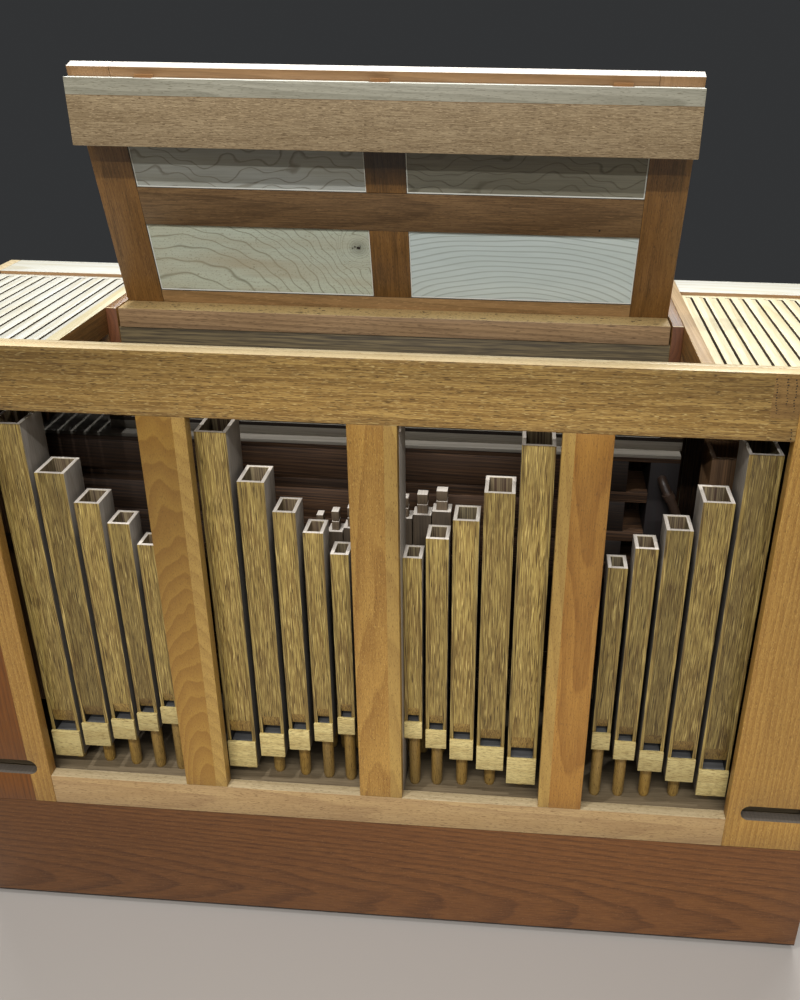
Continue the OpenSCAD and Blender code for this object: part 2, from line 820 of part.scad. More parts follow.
module flap_lugs() color(brass) on_lid() for (x = lug_x) translate([x, 0, 0]) difference() {
    union() {
        translate([-lug_w / 2, flap_s, flap_pin_out]) rotate([0, 90, 0])
            cylinder(r = lug_r, h = lug_w);
        translate([-lug_w / 2, flap_s - lug_leg / 2, 0]) cube([lug_w, lug_leg, flap_pin_out]);
        translate([-lug_w / 2, flap_s - lug_foot[0] / 2, 0]) cube([lug_w, lug_foot[0], lug_foot[1]]);
    }
    translate([-lug_w, flap_s, flap_pin_out]) rotate([0, 90, 0])
        cylinder(d = pin_dia + 2 * seat, h = 2 * lug_w);
}

// Pin line of the flap in the case
pin_off = [flap_s - pivot_edge, flap_pin_out + lid_t / 2];
pin_y = pivot_y + lean_y * pin_off[0] - lean_z * pin_off[1];
pin_z = pivot_z + lean_z * pin_off[0] + lean_y * pin_off[1];

module at_flap() place() translate([0, pin_y, pin_z]) children();

module flap_board() color(beech) at_flap() difference() {
    box([-half_lid, half_lid], [-flap_t / 2, flap_t / 2], [flap_pin_top - flap_h, flap_pin_top]);
    for (x = lug_x) {
        box([x - lug_w / 2 - 1, x + lug_w / 2 + 1], [notch_skin - flap_t / 2, flap_t],
            [-lug_r - 1, flap_t]);
        translate([x - lug_w, 0, 0]) rotate([0, 90, 0]) cylinder(d = pin_dia, h = 2 * lug_w);
    }
}

module flap_pins() color(brass) at_flap() for (x = lug_x)
    translate([x - lug_w, 0, 0]) rotate([0, 90, 0]) cylinder(d = pin_dia, h = 2 * lug_w);

base_runners();
plinth_front();
plinth_back();
plinth_sides();
plinth_deck();
front_bottom_rail();
front_top_rail();
front_post_left();
front_post_centre();
front_post_right();
front_end_panel_left();
front_end_panel_right();
side_panel_left();
side_panel_right();
top_lining();
well_borders();
grille_left();
grille_right();
top_back_boards();
back_rails();
back_posts();
back_panels();
wind_chest();
toe_board();
pipe_walls();
pipe_fronts();
pipe_caps();
pipe_blocks();
pipe_feet();
pipe_rack();
rear_pipes();
rear_stoppers();
rear_feet();
bass_pipes();
bass_shelves();
bass_posts();
wind_tube();
corner_pipes();
centre_batten();
desk_rail();
desk_board();
key_cheeks();
key_bed();
key_slip();
key_frame();
key_blocks();
natural_keys();
sharp_keys();
name_board();
desk_shelf();
lid_stiles();
lid_rails();
lid_muntins();
lid_panels();
lid_pivots();
flap_lugs();
flap_board();
flap_pins();
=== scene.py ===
# %% [markdown]
# # A chest organ in oiled beech
# The object is a small pipe organ built like a chest: a dark plinth, a beech frame that leaves
# its wooden pipes open to view, slotted grilles on top, and a framed lid that leans towards
# the pipes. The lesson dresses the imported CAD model: it copies each board, rounds its edges
# as sandpaper does, tells each board where it lay in its log, and lets one wood shader read that.

# %% Load the frame
import json
import math
import random

import bmesh
import bpy
from mathutils import Matrix, Vector


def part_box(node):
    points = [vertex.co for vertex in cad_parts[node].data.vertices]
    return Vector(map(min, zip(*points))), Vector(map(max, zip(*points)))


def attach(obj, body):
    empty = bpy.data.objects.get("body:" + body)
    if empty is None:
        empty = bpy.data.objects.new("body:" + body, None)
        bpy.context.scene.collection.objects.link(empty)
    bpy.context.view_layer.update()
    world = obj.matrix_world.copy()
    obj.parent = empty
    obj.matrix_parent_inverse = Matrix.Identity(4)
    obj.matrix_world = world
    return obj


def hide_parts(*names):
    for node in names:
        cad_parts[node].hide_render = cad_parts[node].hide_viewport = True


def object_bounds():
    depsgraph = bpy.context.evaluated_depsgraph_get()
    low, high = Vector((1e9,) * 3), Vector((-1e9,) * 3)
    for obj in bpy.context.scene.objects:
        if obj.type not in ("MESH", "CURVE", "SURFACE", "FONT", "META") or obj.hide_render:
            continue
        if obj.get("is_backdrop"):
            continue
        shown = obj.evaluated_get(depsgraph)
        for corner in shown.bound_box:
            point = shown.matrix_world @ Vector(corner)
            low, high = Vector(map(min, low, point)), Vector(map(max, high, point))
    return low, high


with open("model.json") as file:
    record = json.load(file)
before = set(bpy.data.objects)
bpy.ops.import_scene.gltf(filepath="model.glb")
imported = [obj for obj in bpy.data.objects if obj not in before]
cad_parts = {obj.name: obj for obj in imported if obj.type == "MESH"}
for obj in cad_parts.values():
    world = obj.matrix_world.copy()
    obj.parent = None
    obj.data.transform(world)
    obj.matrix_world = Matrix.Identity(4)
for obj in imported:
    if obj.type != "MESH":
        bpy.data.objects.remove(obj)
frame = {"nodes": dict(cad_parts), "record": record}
nodes = frame["nodes"]
cad_low, cad_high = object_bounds()
MM = 0.001
print("nodes:", len(nodes), "box:", [round(v, 3) for v in (*cad_low, *cad_high)])

# %% [markdown]
# ## Camera
# The photo was taken standing, from about 1.5 m in front of the pipes and above the lid. Its
# camera was worked out from the straight edges of the case. The picture is a crop, so the
# lens looks past its middle, which the shift repeats.

# %% Camera
EYE = Vector((0.1912, -1.5045, 1.4029))
YAW, PITCH, ROLL = math.radians(-4.11), math.radians(-27.03), math.radians(0.76)
FOCAL_PX, CENTRE_PX, PICTURE_PX = 996.76, (450.71, 513.07), (800, 1000)
SENSOR = 36.0


def place_camera():
    """Adds the camera at the photo's place, turned by yaw, pitch and roll."""
    ahead = Vector((math.sin(YAW) * math.cos(PITCH), math.cos(YAW) * math.cos(PITCH),
                    math.sin(PITCH)))
    right = Vector((math.cos(YAW), -math.sin(YAW), 0))
    up = right.cross(ahead)
    right, up = (right * math.cos(ROLL) + up * math.sin(ROLL),
                 up * math.cos(ROLL) - right * math.sin(ROLL))
    bpy.ops.object.camera_add()
    camera = bpy.context.object
    turn = Matrix((right, up, -ahead)).transposed().to_4x4()
    camera.matrix_world = Matrix.Translation(EYE) @ turn
    camera.data.sensor_width = SENSOR
    camera.data.lens = SENSOR * FOCAL_PX / PICTURE_PX[1]
    camera.data.shift_x = (PICTURE_PX[0] / 2 - CENTRE_PX[0]) / PICTURE_PX[1]
    camera.data.shift_y = (CENTRE_PX[1] - PICTURE_PX[1] / 2) / PICTURE_PX[1]
    bpy.context.scene.camera = camera
    return camera


camera = place_camera()
print("lens:", round(camera.data.lens, 2), "mm")

# %% [markdown]
# ## Shader helpers
# Every material is built with the same two helpers: one turns the hex colour of a paint
# chart into the linear colour that Blender works with, the other adds one node with its
# settings and links.

# %% Shader helpers


def linear(hex_colour):
    """The linear RGBA of an sRGB hex colour."""
    parts = [int(hex_colour[i:i + 2], 16) / 255 for i in (1, 3, 5)]
    return (*[p / 12.92 if p <= 0.04045 else ((p + 0.055) / 1.055) ** 2.4 for p in parts], 1)


def add(tree, kind, sockets=None, **settings):
    """Adds a node and returns its outputs. Sockets are values or links, by name or number."""
    made = tree.nodes.new("ShaderNode" + kind)
    for name, value in settings.items():
        setattr(made, name, value)
    for key, value in (sockets or {}).items():
        if isinstance(value, bpy.types.NodeSocket):
            tree.links.new(value, made.inputs[key])
        else:
            made.inputs[key].default_value = value
    return made.outputs


def new_material(name, roughness, **values):
    """An empty material with its shader, whose plain values sit on the shader's own sockets."""
    material = bpy.data.materials.new(name)
    material.use_nodes = True
    shader = material.node_tree.nodes["Principled BSDF"]
    shader.inputs["Roughness"].default_value = roughness
    for key, value in values.items():
        shader.inputs[key.replace("_", " ")].default_value = value
    return material, material.node_tree, shader


print("two helpers and a starter for materials")

# %% [markdown]
# ## One shader for wood
# Wood is a stack of yearly cones round the pith, seen where the saw cut through them. Each
# board carries an attribute, "grain", in millimetres: along the log, and across it in two
# directions, counted from the pith. The distance from the pith gives the growth rings, noise
# drawn out along the grain gives the fibres, and small dark dashes give the pores or flecks.
# A second attribute, "tone", makes one board a little lighter or darker than the next, and
# carries the shade and light that grade() paints onto boards.

# %% The wood shader


def marks(tree, grain, along, across, detail=2.0, seed=0.0):
    """Noise from 0 to 1 in marks of about along by across millimetres, along the grain."""
    shrunk = add(tree, "Mapping", {"Vector": grain, "Location": (seed, seed, seed),
                                   "Scale": (1 / along, 1 / across, 1 / across)})[0]
    return add(tree, "TexNoise", {"Vector": shrunk, "Scale": 1.0, "Detail": detail})[0]


def wood(name, early, late, roughness=0.42, ring=(9, 0.3), ring_from=0.3, wander=6,
         fibre=(90, 0.9, 0.5), flecks=(), cloud=0.3, cloud_colour=None, tone=0.16, bump=0.12,
         rings_from=None):
    """A wood: early and late are the colours inside one ring, sizes are in millimetres.

    ring is (width, depth) and fibre is (along, across, depth), where depth says how dark they
    are. Late wood starts at ring_from, a part of the ring, and rings wander that far. Each of
    flecks is (along, across, colour, share), where a higher share gives more of them.
    """
    material, tree, shader = new_material(name, roughness)
    grain = add(tree, "Attribute", attribute_name="grain")["Vector"]
    axes = add(tree, "SeparateXYZ", {0: grain})
    drift = add(tree, "Math", {0: marks(tree, grain, 420, 55), 1: 0.5}, operation="SUBTRACT")[0]
    if rings_from:
        radius = add(tree, "Attribute", attribute_name=rings_from)["Fac"]
    else:
        side = add(tree, "Math", {0: axes[1], 1: axes[1]}, operation="MULTIPLY")[0]
        both = add(tree, "Math", {0: axes[2], 1: axes[2], 2: side}, operation="MULTIPLY_ADD")[0]
        radius = add(tree, "Math", {0: both}, operation="SQRT")[0]
    bent = add(tree, "Math", {0: drift, 1: wander * 2, 2: radius}, operation="MULTIPLY_ADD")[0]
    year = add(tree, "Math", {0: bent, 1: 1 / ring[0]}, operation="MULTIPLY")[0]
    part = add(tree, "Math", {0: year}, operation="FRACT")[0]
    rise = add(tree, "MapRange", {0: part, 1: ring_from, 2: 0.9})[0]
    fall = add(tree, "MapRange", {0: part, 1: 1.0, 2: 0.93})[0]
    late_wood = add(tree, "Math", {0: rise, 1: fall}, operation="MULTIPLY")[0]
    dark = add(tree, "Math", {0: late_wood, 1: ring[1]}, operation="MULTIPLY")[0]
    fibres = marks(tree, grain, *fibre[:2], detail=3.0, seed=3.1)
    strands = add(tree, "MapRange", {0: fibres, 1: 0.36, 2: 0.66})[0]
    dark = add(tree, "Math", {0: strands, 1: fibre[2], 2: dark}, operation="MULTIPLY_ADD")[0]
    colour = add(tree, "Mix", {0: dark, 6: linear(early), 7: linear(late)}, data_type="RGBA")[2]
    patch = add(tree, "MapRange", {0: marks(tree, grain, 160, 28, seed=7.7), 1: 0.3, 2: 0.75,
                                   4: cloud})[0]
    colour = add(tree, "Mix", {0: patch, 6: colour, 7: linear(cloud_colour or late)},
                 data_type="RGBA")[2]
    height = fibres
    for number, (long, thin, fleck_colour, share) in enumerate(flecks):
        spots = marks(tree, grain, long, thin, detail=1.0, seed=12.3 + 9.4 * number)
        spots = add(tree, "MapRange", {0: spots, 1: 0.71 - share, 2: 0.77 - share, 4: 0.8})[0]
        colour = add(tree, "Mix", {0: spots, 6: colour, 7: linear(fleck_colour)},
                     data_type="RGBA")[2]
        height = add(tree, "Math", {0: height, 1: spots}, operation="SUBTRACT")[0]
    board = add(tree, "Attribute", attribute_name="tone")["Fac"]
    value = add(tree, "Math", {0: board, 1: tone, 2: 1.0}, operation="MULTIPLY_ADD")[0]
    colour = add(tree, "HueSaturation", {"Color": colour, "Value": value})[0]
    relief = add(tree, "Bump", {"Strength": bump, "Distance": 0.0006, "Height": height})[0]
    gloss = add(tree, "MapRange", {0: fibres, 1: 0.3, 2: 0.7, 3: roughness - 0.07,
                                   4: roughness + 0.07})[0]
    tree.links.new(colour, shader.inputs["Base Color"])
    tree.links.new(relief, shader.inputs["Normal"])
    tree.links.new(gloss, shader.inputs["Roughness"])
    return material


print("one shader for all woods")

# %% [markdown]
# ## The woods of this organ
# The case is beech, oiled golden: flat, even, with tiny dark flecks. The plinth and the lid's
# frame are darker, reddish beech. The pipe fronts are a striped hardwood with long dark pores,
# the pipe sides pale maple with rims painted near white as highlight, the lid's panels ash
# with bold rings, and what lies deep in the case is painted dark as shade; some top faces get
# a painted highlight. Sizes come from the photo, where a pixel is about 1.5 mm.

# %% The woods
MATERIALS = {
    # Oiled beech: quiet gold, clouded rather than ringed, with flecks 5 mm long.
    "beech": wood(
        "oiled_beech", "#b88e46", "#885d26", ring=(9, 0.5), ring_from=0.05, wander=16,
        fibre=(120, 1.4, 0.4), flecks=[(5, 0.7, "#6f4e25", 0.1), (5, 0.7, "#cda75b", 0.07)],
        cloud=0.35, cloud_colour="#a37734", tone=0.1),
    # Flat-sawn beech: arches 6.6 mm apart lead the eye up the left post.
    "arched_beech": wood(
        "arched_beech", "#a37d38", "#7d5320", ring=(6.6, 0.5), ring_from=0, wander=13,
        fibre=(120, 0.9, 0.25), flecks=[(5, 0.7, "#6f4e25", 0.09)], cloud=0.2,
        cloud_colour="#956c2a"),
    # Rift-sawn beech: a straight, paler strip, so the glue line is seen.
    "strip_beech": wood(
        "straight_beech", "#b8954f", "#957138", ring=(6, 0.4), fibre=(160, 0.9, 0.4),
        flecks=[(5, 0.7, "#6f4e25", 0.09)], cloud=0.25, tone=0.1),
    # Reddish beech whose darkness is partly painted shade: the left end reads as the darkest
    # board.
    "red_end_beech": wood(
        "reddish_beech", "#804a0c", "#502a04", ring=(7, 0.4), wander=10, fibre=(160, 1.4, 0.5),
        flecks=[(5, 0.7, "#5f4220", 0.1)], cloud=0.4, cloud_colour="#6a3a06", tone=0.1),
    # A more orange board: the right post glows a little against its strip.
    "right_beech": wood(
        "orange_beech", "#b2823b", "#83541f", ring=(9, 0.5), ring_from=0.05, wander=16,
        fibre=(120, 1.4, 0.4), flecks=[(5, 0.7, "#6f4e25", 0.1)], cloud=0.35,
        cloud_colour="#9d6c2b", tone=0.1),
    # Olive beech: fibres 150 mm long stretch the top rail sideways.
    "rail_beech": wood(
        "olive_beech", "#b08f51", "#75572a", ring=(14, 0.45), ring_from=0.1, wander=16,
        fibre=(150, 1.5, 0.95), flecks=[(12, 1.1, "#4a3416", 0.12), (10, 1, "#bfa469", 0.08)],
        cloud=0.5, cloud_colour="#8d6c36", tone=0.3),
    # A browner patch, 30 mm wide, marks the joint at the rail's end.
    "rail_end_beech": wood(
        "brown_end_beech", "#9c7a46", "#6a4d28", ring=(10, 0.4),
        flecks=[(5, 0.7, "#4a3318", 0.12)], cloud=0.4, tone=0.1),
    # Painted highlight: a bright beech on the rail's top face draws the case's upper edge.
    "rail_top": wood(
        "rail_top_painted_highlight", "#e4cd9f", "#c4a977", roughness=0.4, fibre=(120, 1.2, 0.35),
        flecks=[(6, 0.9, "#a98c5a", 0.09)], tone=0.05),
    # Pale worn beech: the sill looks rubbed by hands and cloths.
    "low_beech": wood(
        "pale_sill_beech", "#c5a572", "#987651", ring=(9, 0.35), wander=12, fibre=(90, 1.6, 0.4),
        flecks=[(8, 1.1, "#7c5b38", 0.1)], cloud=0.35, cloud_colour="#a47e4d"),
    # Dark cherry with 8 mm rings: a calm dark foot for the light case.
    "plinth_wood": wood(
        "dark_cherry", "#784c23", "#42240d", roughness=0.38, ring=(8, 0.4), ring_from=0.45,
        wander=8, fibre=(260, 1.6, 0.5), flecks=[(4, 0.8, "#8d6845", 0.03)], cloud=0.35,
        cloud_colour="#5e3717", tone=0.18),
    # Steamed beech: the lid's red-brown frame sets off its pale panels.
    "lid_wood": wood(
        "red_beech", "#875f2f", "#563a18", ring=(8, 0.35), fibre=(160, 1.4, 0.65),
        flecks=[(6, 0.7, "#452c15", 0.09), (9, 0.7, "#856238", 0.08)]),
    # The same, greyer: rails and stiles part where their grains meet.
    "lid_rail_wood": wood(
        "grey_red_beech", "#7b5e3c", "#4e381f", ring=(8, 0.4), fibre=(200, 1.4, 0.75),
        flecks=[(8, 0.7, "#412c16", 0.09), (16, 0.7, "#7e6240", 0.08)]),
    # Painted light: a paler lid beech on the rail at its foot, a soft step up from the desk.
    "lid_low_wood": wood(
        "red_beech_painted_light", "#94734a", "#614829", ring=(8, 0.4), fibre=(160, 0.9, 0.5),
        flecks=[(12, 0.7, "#a58459", 0.08)]),
    # Orange beech: one warm line above the flap.
    "head_beech": wood(
        "orange_head_beech", "#a17d56", "#7a5a37", ring=(8, 0.4), fibre=(160, 0.9, 0.4),
        tone=0.08),
    # Brown-grey beech with 12 mm pores: a rail that hands have rubbed.
    "desk_wood": wood(
        "brown_grey_beech", "#ab8b64", "#74593d", ring=(8, 0.45), wander=9, fibre=(160, 0.9, 0.5),
        flecks=[(12, 0.8, "#5f482f", 0.1)], cloud=0.35),
    # Pale beech with short dark dashes: each cap reads as a small block.
    "light_wood": wood(
        "pale_beech", "#e0ce8e", "#ad9154", roughness=0.5, ring=(8, 0.25), fibre=(16, 0.9, 0.5),
        flecks=[(9, 0.7, "#7d6335", 0.14)], cloud=0.2),
    # Bleached maple: a pale sheet on which the slots read as ink lines.
    "pale_wood": wood(
        "bleached_maple", "#c7bfa0", "#a9986c", roughness=0.5, ring=(10, 0.4), cloud=0.4,
        cloud_colour="#bcae81"),
    # The same maple, painted lighter as sheen: the left grille is the lightest.
    "maple_painted_sheen": wood(
        "maple_painted_sheen", "#c6c7c1", "#a89f83", roughness=0.5, ring=(10, 0.4), fibre=(90, 1.4, 0.5),
        cloud=0.4, cloud_colour="#bcb69c"),
    # Tan beech: a narrow frame round the pale grilles.
    "border_top": wood(
        "tan_border", "#ab8e64", "#886c41", roughness=0.5, ring=(7, 0.4), fibre=(120, 0.9, 0.5),
        flecks=[(6, 0.8, "#7d6240", 0.09)], tone=0.06),
    # Red-brown end grain: a dark full stop at each end of the desk.
    "cheek_end": wood("red_brown_cheek", "#6e4226", "#472814", roughness=0.45, ring=(7, 0.4)),
    # Ash with rings 8 mm apart and a few brown stains: the tree's own map.
    "panel_wood": wood(
        "ash_panel", "#c8cfbb", "#6d6a52", roughness=0.48, ring=(8.2, 0.6), ring_from=0.8,
        wander=3, fibre=(160, 1.2, 0.15), flecks=[(3, 1.3, "#9a957c", 0.08)], cloud=0.7,
        cloud_colour="#b0a182", rings_from="rings"),
    # Cool ash with even rings: the calm neighbour of the knotted panel.
    "cool_panel": wood(
        "cool_ash_panel", "#dde8e3", "#8e978a", roughness=0.48, ring=(8.2, 0.6), ring_from=0.68,
        wander=4, fibre=(160, 1.2, 0.12), cloud=0.4, cloud_colour="#c0ccc4", rings_from="rings"),
    # Burr ash: veins 20 mm apart wander like water.
    "veined_panel": wood(
        "veined_ash_panel", "#bbbeb6", "#645c4a", roughness=0.48, ring=(21, 0.6), ring_from=0.78,
        wander=34, fibre=(120, 1.8, 0.2), cloud=0.6, cloud_colour="#94907b", rings_from="rings"),
    # The same burr, browner: this panel sinks back a little.
    "brown_panel": wood(
        "brown_ash_panel", "#888676", "#4a4535", roughness=0.48, ring=(21, 0.6), ring_from=0.78,
        wander=34, fibre=(120, 1.8, 0.25), cloud=0.6, cloud_colour="#6f6956", rings_from="rings"),
    # A white line, 1.4 mm wide, round each panel; on the flap's top it is painted highlight.
    "panel_line": wood(
        "white_line_and_painted_highlight", "#f6f6ea", "#dcdccb", roughness=0.5, ring=(5, 0.2),
        fibre=(30, 0.8, 0.2), cloud=0.1, tone=0.03),
    # Striped oak: dashes 60 mm long and 1 mm wide make the pipes shimmer.
    "pipe_front": wood(
        "striped_oak", "#ad9552", "#695025", roughness=0.5, ring=(7, 0.3), wander=8,
        fibre=(170, 1.2, 0.95), flecks=[(60, 1, "#3c2a10", 0.14), (55, 1, "#cdb36c", 0.1)],
        cloud=0.45, cloud_colour="#816a3a", tone=0.22, bump=0.2),
    # Oak cut by the voicing knife: a darker, shinier lip over the mouth.
    "pipe_lip": wood(
        "shaved_oak", "#ab8d4a", "#65481f", roughness=0.45, ring=(7, 0.3), fibre=(40, 0.8, 0.85),
        flecks=[(16, 0.75, "#402a10", 0.14)], tone=0.22, bump=0.15),
    # Painted shade on the block's top: a flat dark grey makes the mouth look open and deep.
    "mouth_floor": wood(
        "mouth_floor_painted_shade", "#545352", "#323130", roughness=0.6, ring=(6, 0.3), fibre=(30, 1.2, 0.5)),
    # Turned beech: flecks 7 mm long run down each round foot.
    "pipe_foot": wood(
        "turned_beech", "#aa8640", "#75561f", roughness=0.5, fibre=(20, 1, 0.6),
        flecks=[(7, 0.9, "#5a4118", 0.12)], cloud=0.5, cloud_colour="#7f6f4b", tone=0.2, bump=0.2),
    # Grey maple: cool plain sides that set off the striped fronts.
    "pipe_side": wood(
        "grey_maple", "#aea69b", "#857c70", roughness=0.55, ring=(7, 0.35), fibre=(120, 1, 0.5),
        cloud=0.2, tone=0.3),
    # Painted shade in the bores: streaks 200 mm long fall away into the dark.
    "pipe_inside": wood(
        "brown_pipe_bore", "#8d7f5e", "#2e2117", roughness=0.6, ring=(6, 0.3),
        fibre=(200, 1.8, 0.95), cloud=0.4, cloud_colour="#6b4a35", tone=0.4),
    # Brown pine: the tall corner pipes glow faintly behind the end bays.
    "corner_wood": wood(
        "brown_corner_pine", "#9e7750", "#59402a", roughness=0.6, ring=(5, 0.5), wander=8,
        fibre=(320, 1.3, 0.7), tone=0.3),
    # Smoked oak: plain and dusty, for what carries the pipes.
    "chest_wood": wood(
        "smoked_oak", "#84745a", "#5c4e3a", roughness=0.55, ring=(8, 0.25), fibre=(120, 1.2, 0.4)),
    # Dusty oak with painted shade: darker towards the back, lighter at the front edge.
    "toe_wood": wood(
        "dusty_oak_and_painted_shade", "#84745a", "#564834", roughness=0.55, ring=(8, 0.3), fibre=(140, 1.2, 0.5),
        tone=0.5),
    # Pine painted dark as shade, with lines 320 mm long: the depth of the case.
    "inner_wood": wood(
        "inner_pine_painted_shade", "#573c25", "#201309", roughness=0.6, ring=(5, 0.5), wander=8,
        fibre=(320, 1.3, 0.8), flecks=[(160, 0.8, "#6e4f34", 0.09)], tone=0.4),
    # Brown stoppers, so the small pipes look plugged, not open.
    "stopper_wood": wood(
        "brown_stopper", "#75634e", "#463a2c", roughness=0.55, ring=(5, 0.3),
        fibre=(40, 0.8, 0.5)),
    # Handled wood: the hand slots look greasy and grey inside.
    "slot_grey": wood(
        "handled_slot", "#6a6156", "#4a4239", roughness=0.6, ring=(6, 0.3), fibre=(40, 0.8, 0.4)),
    # Worn top of the sill: a lighter ledge under the feet.
    "sill_top": wood(
        "worn_sill", "#c2af8b", "#a08b66", roughness=0.45, ring=(8, 0.3), fibre=(90, 1.2, 0.5),
        flecks=[(7, 0.8, "#7d6a48", 0.1)], cloud=0.4, tone=0.05),
    # Red pine painted nearly black as shade: it closes the case behind the ladder.
    "end_board": wood(
        "red_pine_painted_shade", "#160603", "#080201", roughness=0.6, ring=(9, 0.4),
        fibre=(200, 1.5, 0.4)),
    # Brown tube with marks 60 mm long, just lighter than what is behind.
    "tube_wood": wood(
        "brown_tube", "#3a2b21", "#23170f", roughness=0.45, ring=(5, 0.2), fibre=(60, 1.2, 0.4),
        cloud=0.2),
    # Boxwood: warm white keys with hair-fine lines.
    "key_top": wood(
        "boxwood", "#ddd6bf", "#c3b894", roughness=0.35, ring=(3, 0.3), fibre=(60, 0.7, 0.2),
        cloud=0.15, tone=0.05),
    # Ebony: nearly black, with a thin brown figure.
    "key_sharp": wood(
        "ebony", "#33281f", "#150f0b", roughness=0.35, ring=(3, 0.4), fibre=(40, 0.7, 0.3),
        cloud=0.2, tone=0.1),
    # Painted highlight on the maple arris: a light hairline down every pipe.
    "wall_edge": wood(
        "maple_arris_painted_highlight", "#c9b98a", "#96835a", roughness=0.5, ring=(9, 0.2), fibre=(60, 1, 0.5),
        cloud=0.2),
    # Maple end grain: painted highlight on rims and lit tops, and the wedge's own white.
    "rim": wood(
        "maple_end_grain_painted_highlight", "#efe6da", "#c5b8a8", roughness=0.6, ring=(4, 0.3), fibre=(3, 1, 0.3),
        cloud=0.15, tone=0.05),
    # Painted highlight: a paler beech on top faces, where the light falls on what lies level.
    "top_edge": wood(
        "top_beech_painted_highlight", "#d3c29c", "#b09a70", roughness=0.4, fibre=(80, 1.4, 0.4),
        flecks=[(6, 0.9, "#8f7447", 0.1)], tone=0.05),
    # Flecked beech with marks 26 mm long: the flap looks like linen.
    "flap_beech": wood(
        "flecked_beech", "#a89473", "#7a664a", roughness=0.45, ring=(9, 0.2), wander=10,
        fibre=(26, 1, 0.85), flecks=[(7, 0.7, "#57432c", 0.11), (7, 0.7, "#bba480", 0.09)],
        cloud=0.4, cloud_colour="#826c4c", tone=0.04),
    # A grey-green strip, 20.5 mm, glued along the top of the flap.
    "flap_top": wood(
        "grey_green_beech", "#a39f8d", "#787564", roughness=0.45, ring=(6, 0.5), ring_from=0.1,
        wander=14, fibre=(90, 0.9, 0.45), flecks=[(9, 0.8, "#6a6450", 0.09)], cloud=0.5,
        cloud_colour="#8c8674", tone=0.04),
    # Beech with filled worm holes, 2 to 5 mm: an old board put to use.
    "pitted_beech": wood(
        "pitted_beech", "#c6aa74", "#a0814e", roughness=0.5, ring=(9, 0.2), fibre=(30, 1.2, 0.35),
        flecks=[(4.5, 1.8, "#2e1d0e", 0.1)], tone=0.05),
    # Grey pine: a dull pale band behind the pipes' tops.
    "shelf_wood": wood(
        "grey_pine", "#bab2a4", "#807a6e", roughness=0.55, fibre=(200, 1.2, 0.4), cloud=0.2,
        tone=0.5),
    # Grey walnut with fibres 1.6 mm wide: the darkest board on top.
    "desk_board_wood": wood(
        "grey_walnut", "#6a5c40", "#393021", roughness=0.5, ring=(7, 0.4), wander=10,
        fibre=(120, 1.6, 0.9)),
    # Painted shade on the slot walls, so a slot reads as a black line.
    "slot_wall": wood(
        "slot_wall_painted_shade", "#54483a", "#33291e", roughness=0.6, fibre=(60, 1.2, 0.4), cloud=0.2),
    # Dark filler for the pits and the knot; also painted shade in gaps and along shaded edges.
    "dark_spot": wood(
        "dark_filler_and_painted_shade", "#2a1c10", "#120b06", roughness=0.6, ring=(2, 0.3), fibre=(4, 0.6, 0.4),
        cloud=0.2),
}
print("woods:", len(MATERIALS))

# %% [markdown]
# ## Brass
# The hinge pins and lugs are plain drawn brass, gone brown with age: fine draw marks
# break the gloss a little. Metal needs no grain, so object coordinates are enough.

# %% Brass


def brass():
    """Drawn brass with fine marks along X, dulled by age, so it is only partly a mirror."""
    material, tree, shader = new_material("drawn_brass", 0.45, Metallic=0.35)
    place = add(tree, "TexCoord")["Object"]
    drawn = add(tree, "Mapping", {"Vector": place, "Scale": (40, 2500, 2500)})[0]
    lines = add(tree, "TexNoise", {"Vector": drawn, "Scale": 1.0})[0]
    colour = add(tree, "Mix", {0: lines, 6: linear("#b3885a"), 7: linear("#8e683f")},
                 data_type="RGBA")[2]
    gloss = add(tree, "MapRange", {0: lines, 1: 0.3, 2: 0.7, 3: 0.4, 4: 0.55})[0]
    tree.links.new(colour, shader.inputs["Base Color"])
    tree.links.new(gloss, shader.inputs["Roughness"])
    return material


MATERIALS["brass"] = brass()
print("materials:", len(MATERIALS))

# %% [markdown]
# ## From a CAD node to a board
# A CAD solid has knife-sharp edges, which no sanded board has. Each node is copied, its
# loose triangles are merged, flat faces joined, and its edges bevelled by about a millimetre.
# Then every separate solid in the piece is read as one board: its longest side is the grain's
# direction, and a seeded draw says how far the pith lay from it.

# %% Boards
record = frame["record"]
SLOT = {part["node"]: part["material_slot"] for part in record["subparts"]}
BODY = {n: body for body, members in record["behaviour"]["bodies"].items() for n in members}
LID_LEAN = math.radians(16.5)
LID_ALONG = Vector((0, -math.sin(LID_LEAN), math.cos(LID_LEAN)))
LID_OUT = Vector((0, -math.cos(LID_LEAN), -math.sin(LID_LEAN)))
UPRIGHT = (Vector((1, 0, 0)), Vector((0, 1, 0)), Vector((0, 0, 1)))
LEANING = (Vector((1, 0, 0)), LID_OUT, LID_ALONG)


def only(piece):
    """Makes the piece the one selected and active object."""
    bpy.ops.object.select_all(action="DESELECT")
    piece.select_set(True)
    bpy.context.view_layer.objects.active = piece


def islands(mesh):
    """The faces of each separate solid, as lists of face numbers in a steady order."""
    shape = bmesh.new()
    shape.from_mesh(mesh)
    shape.faces.ensure_lookup_table()
    seen, found = set(), []
    for face in shape.faces:
        if face.index in seen:
            continue
        group, edge_of_group = [], [face]
        seen.add(face.index)
        while edge_of_group:
            here = edge_of_group.pop()
            group.append(here.index)
            for vertex in here.verts:
                for other in vertex.link_faces:
                    if other.index not in seen:
                        seen.add(other.index)
                        edge_of_group.append(other)
        found.append(sorted(group))
    shape.free()
    return found


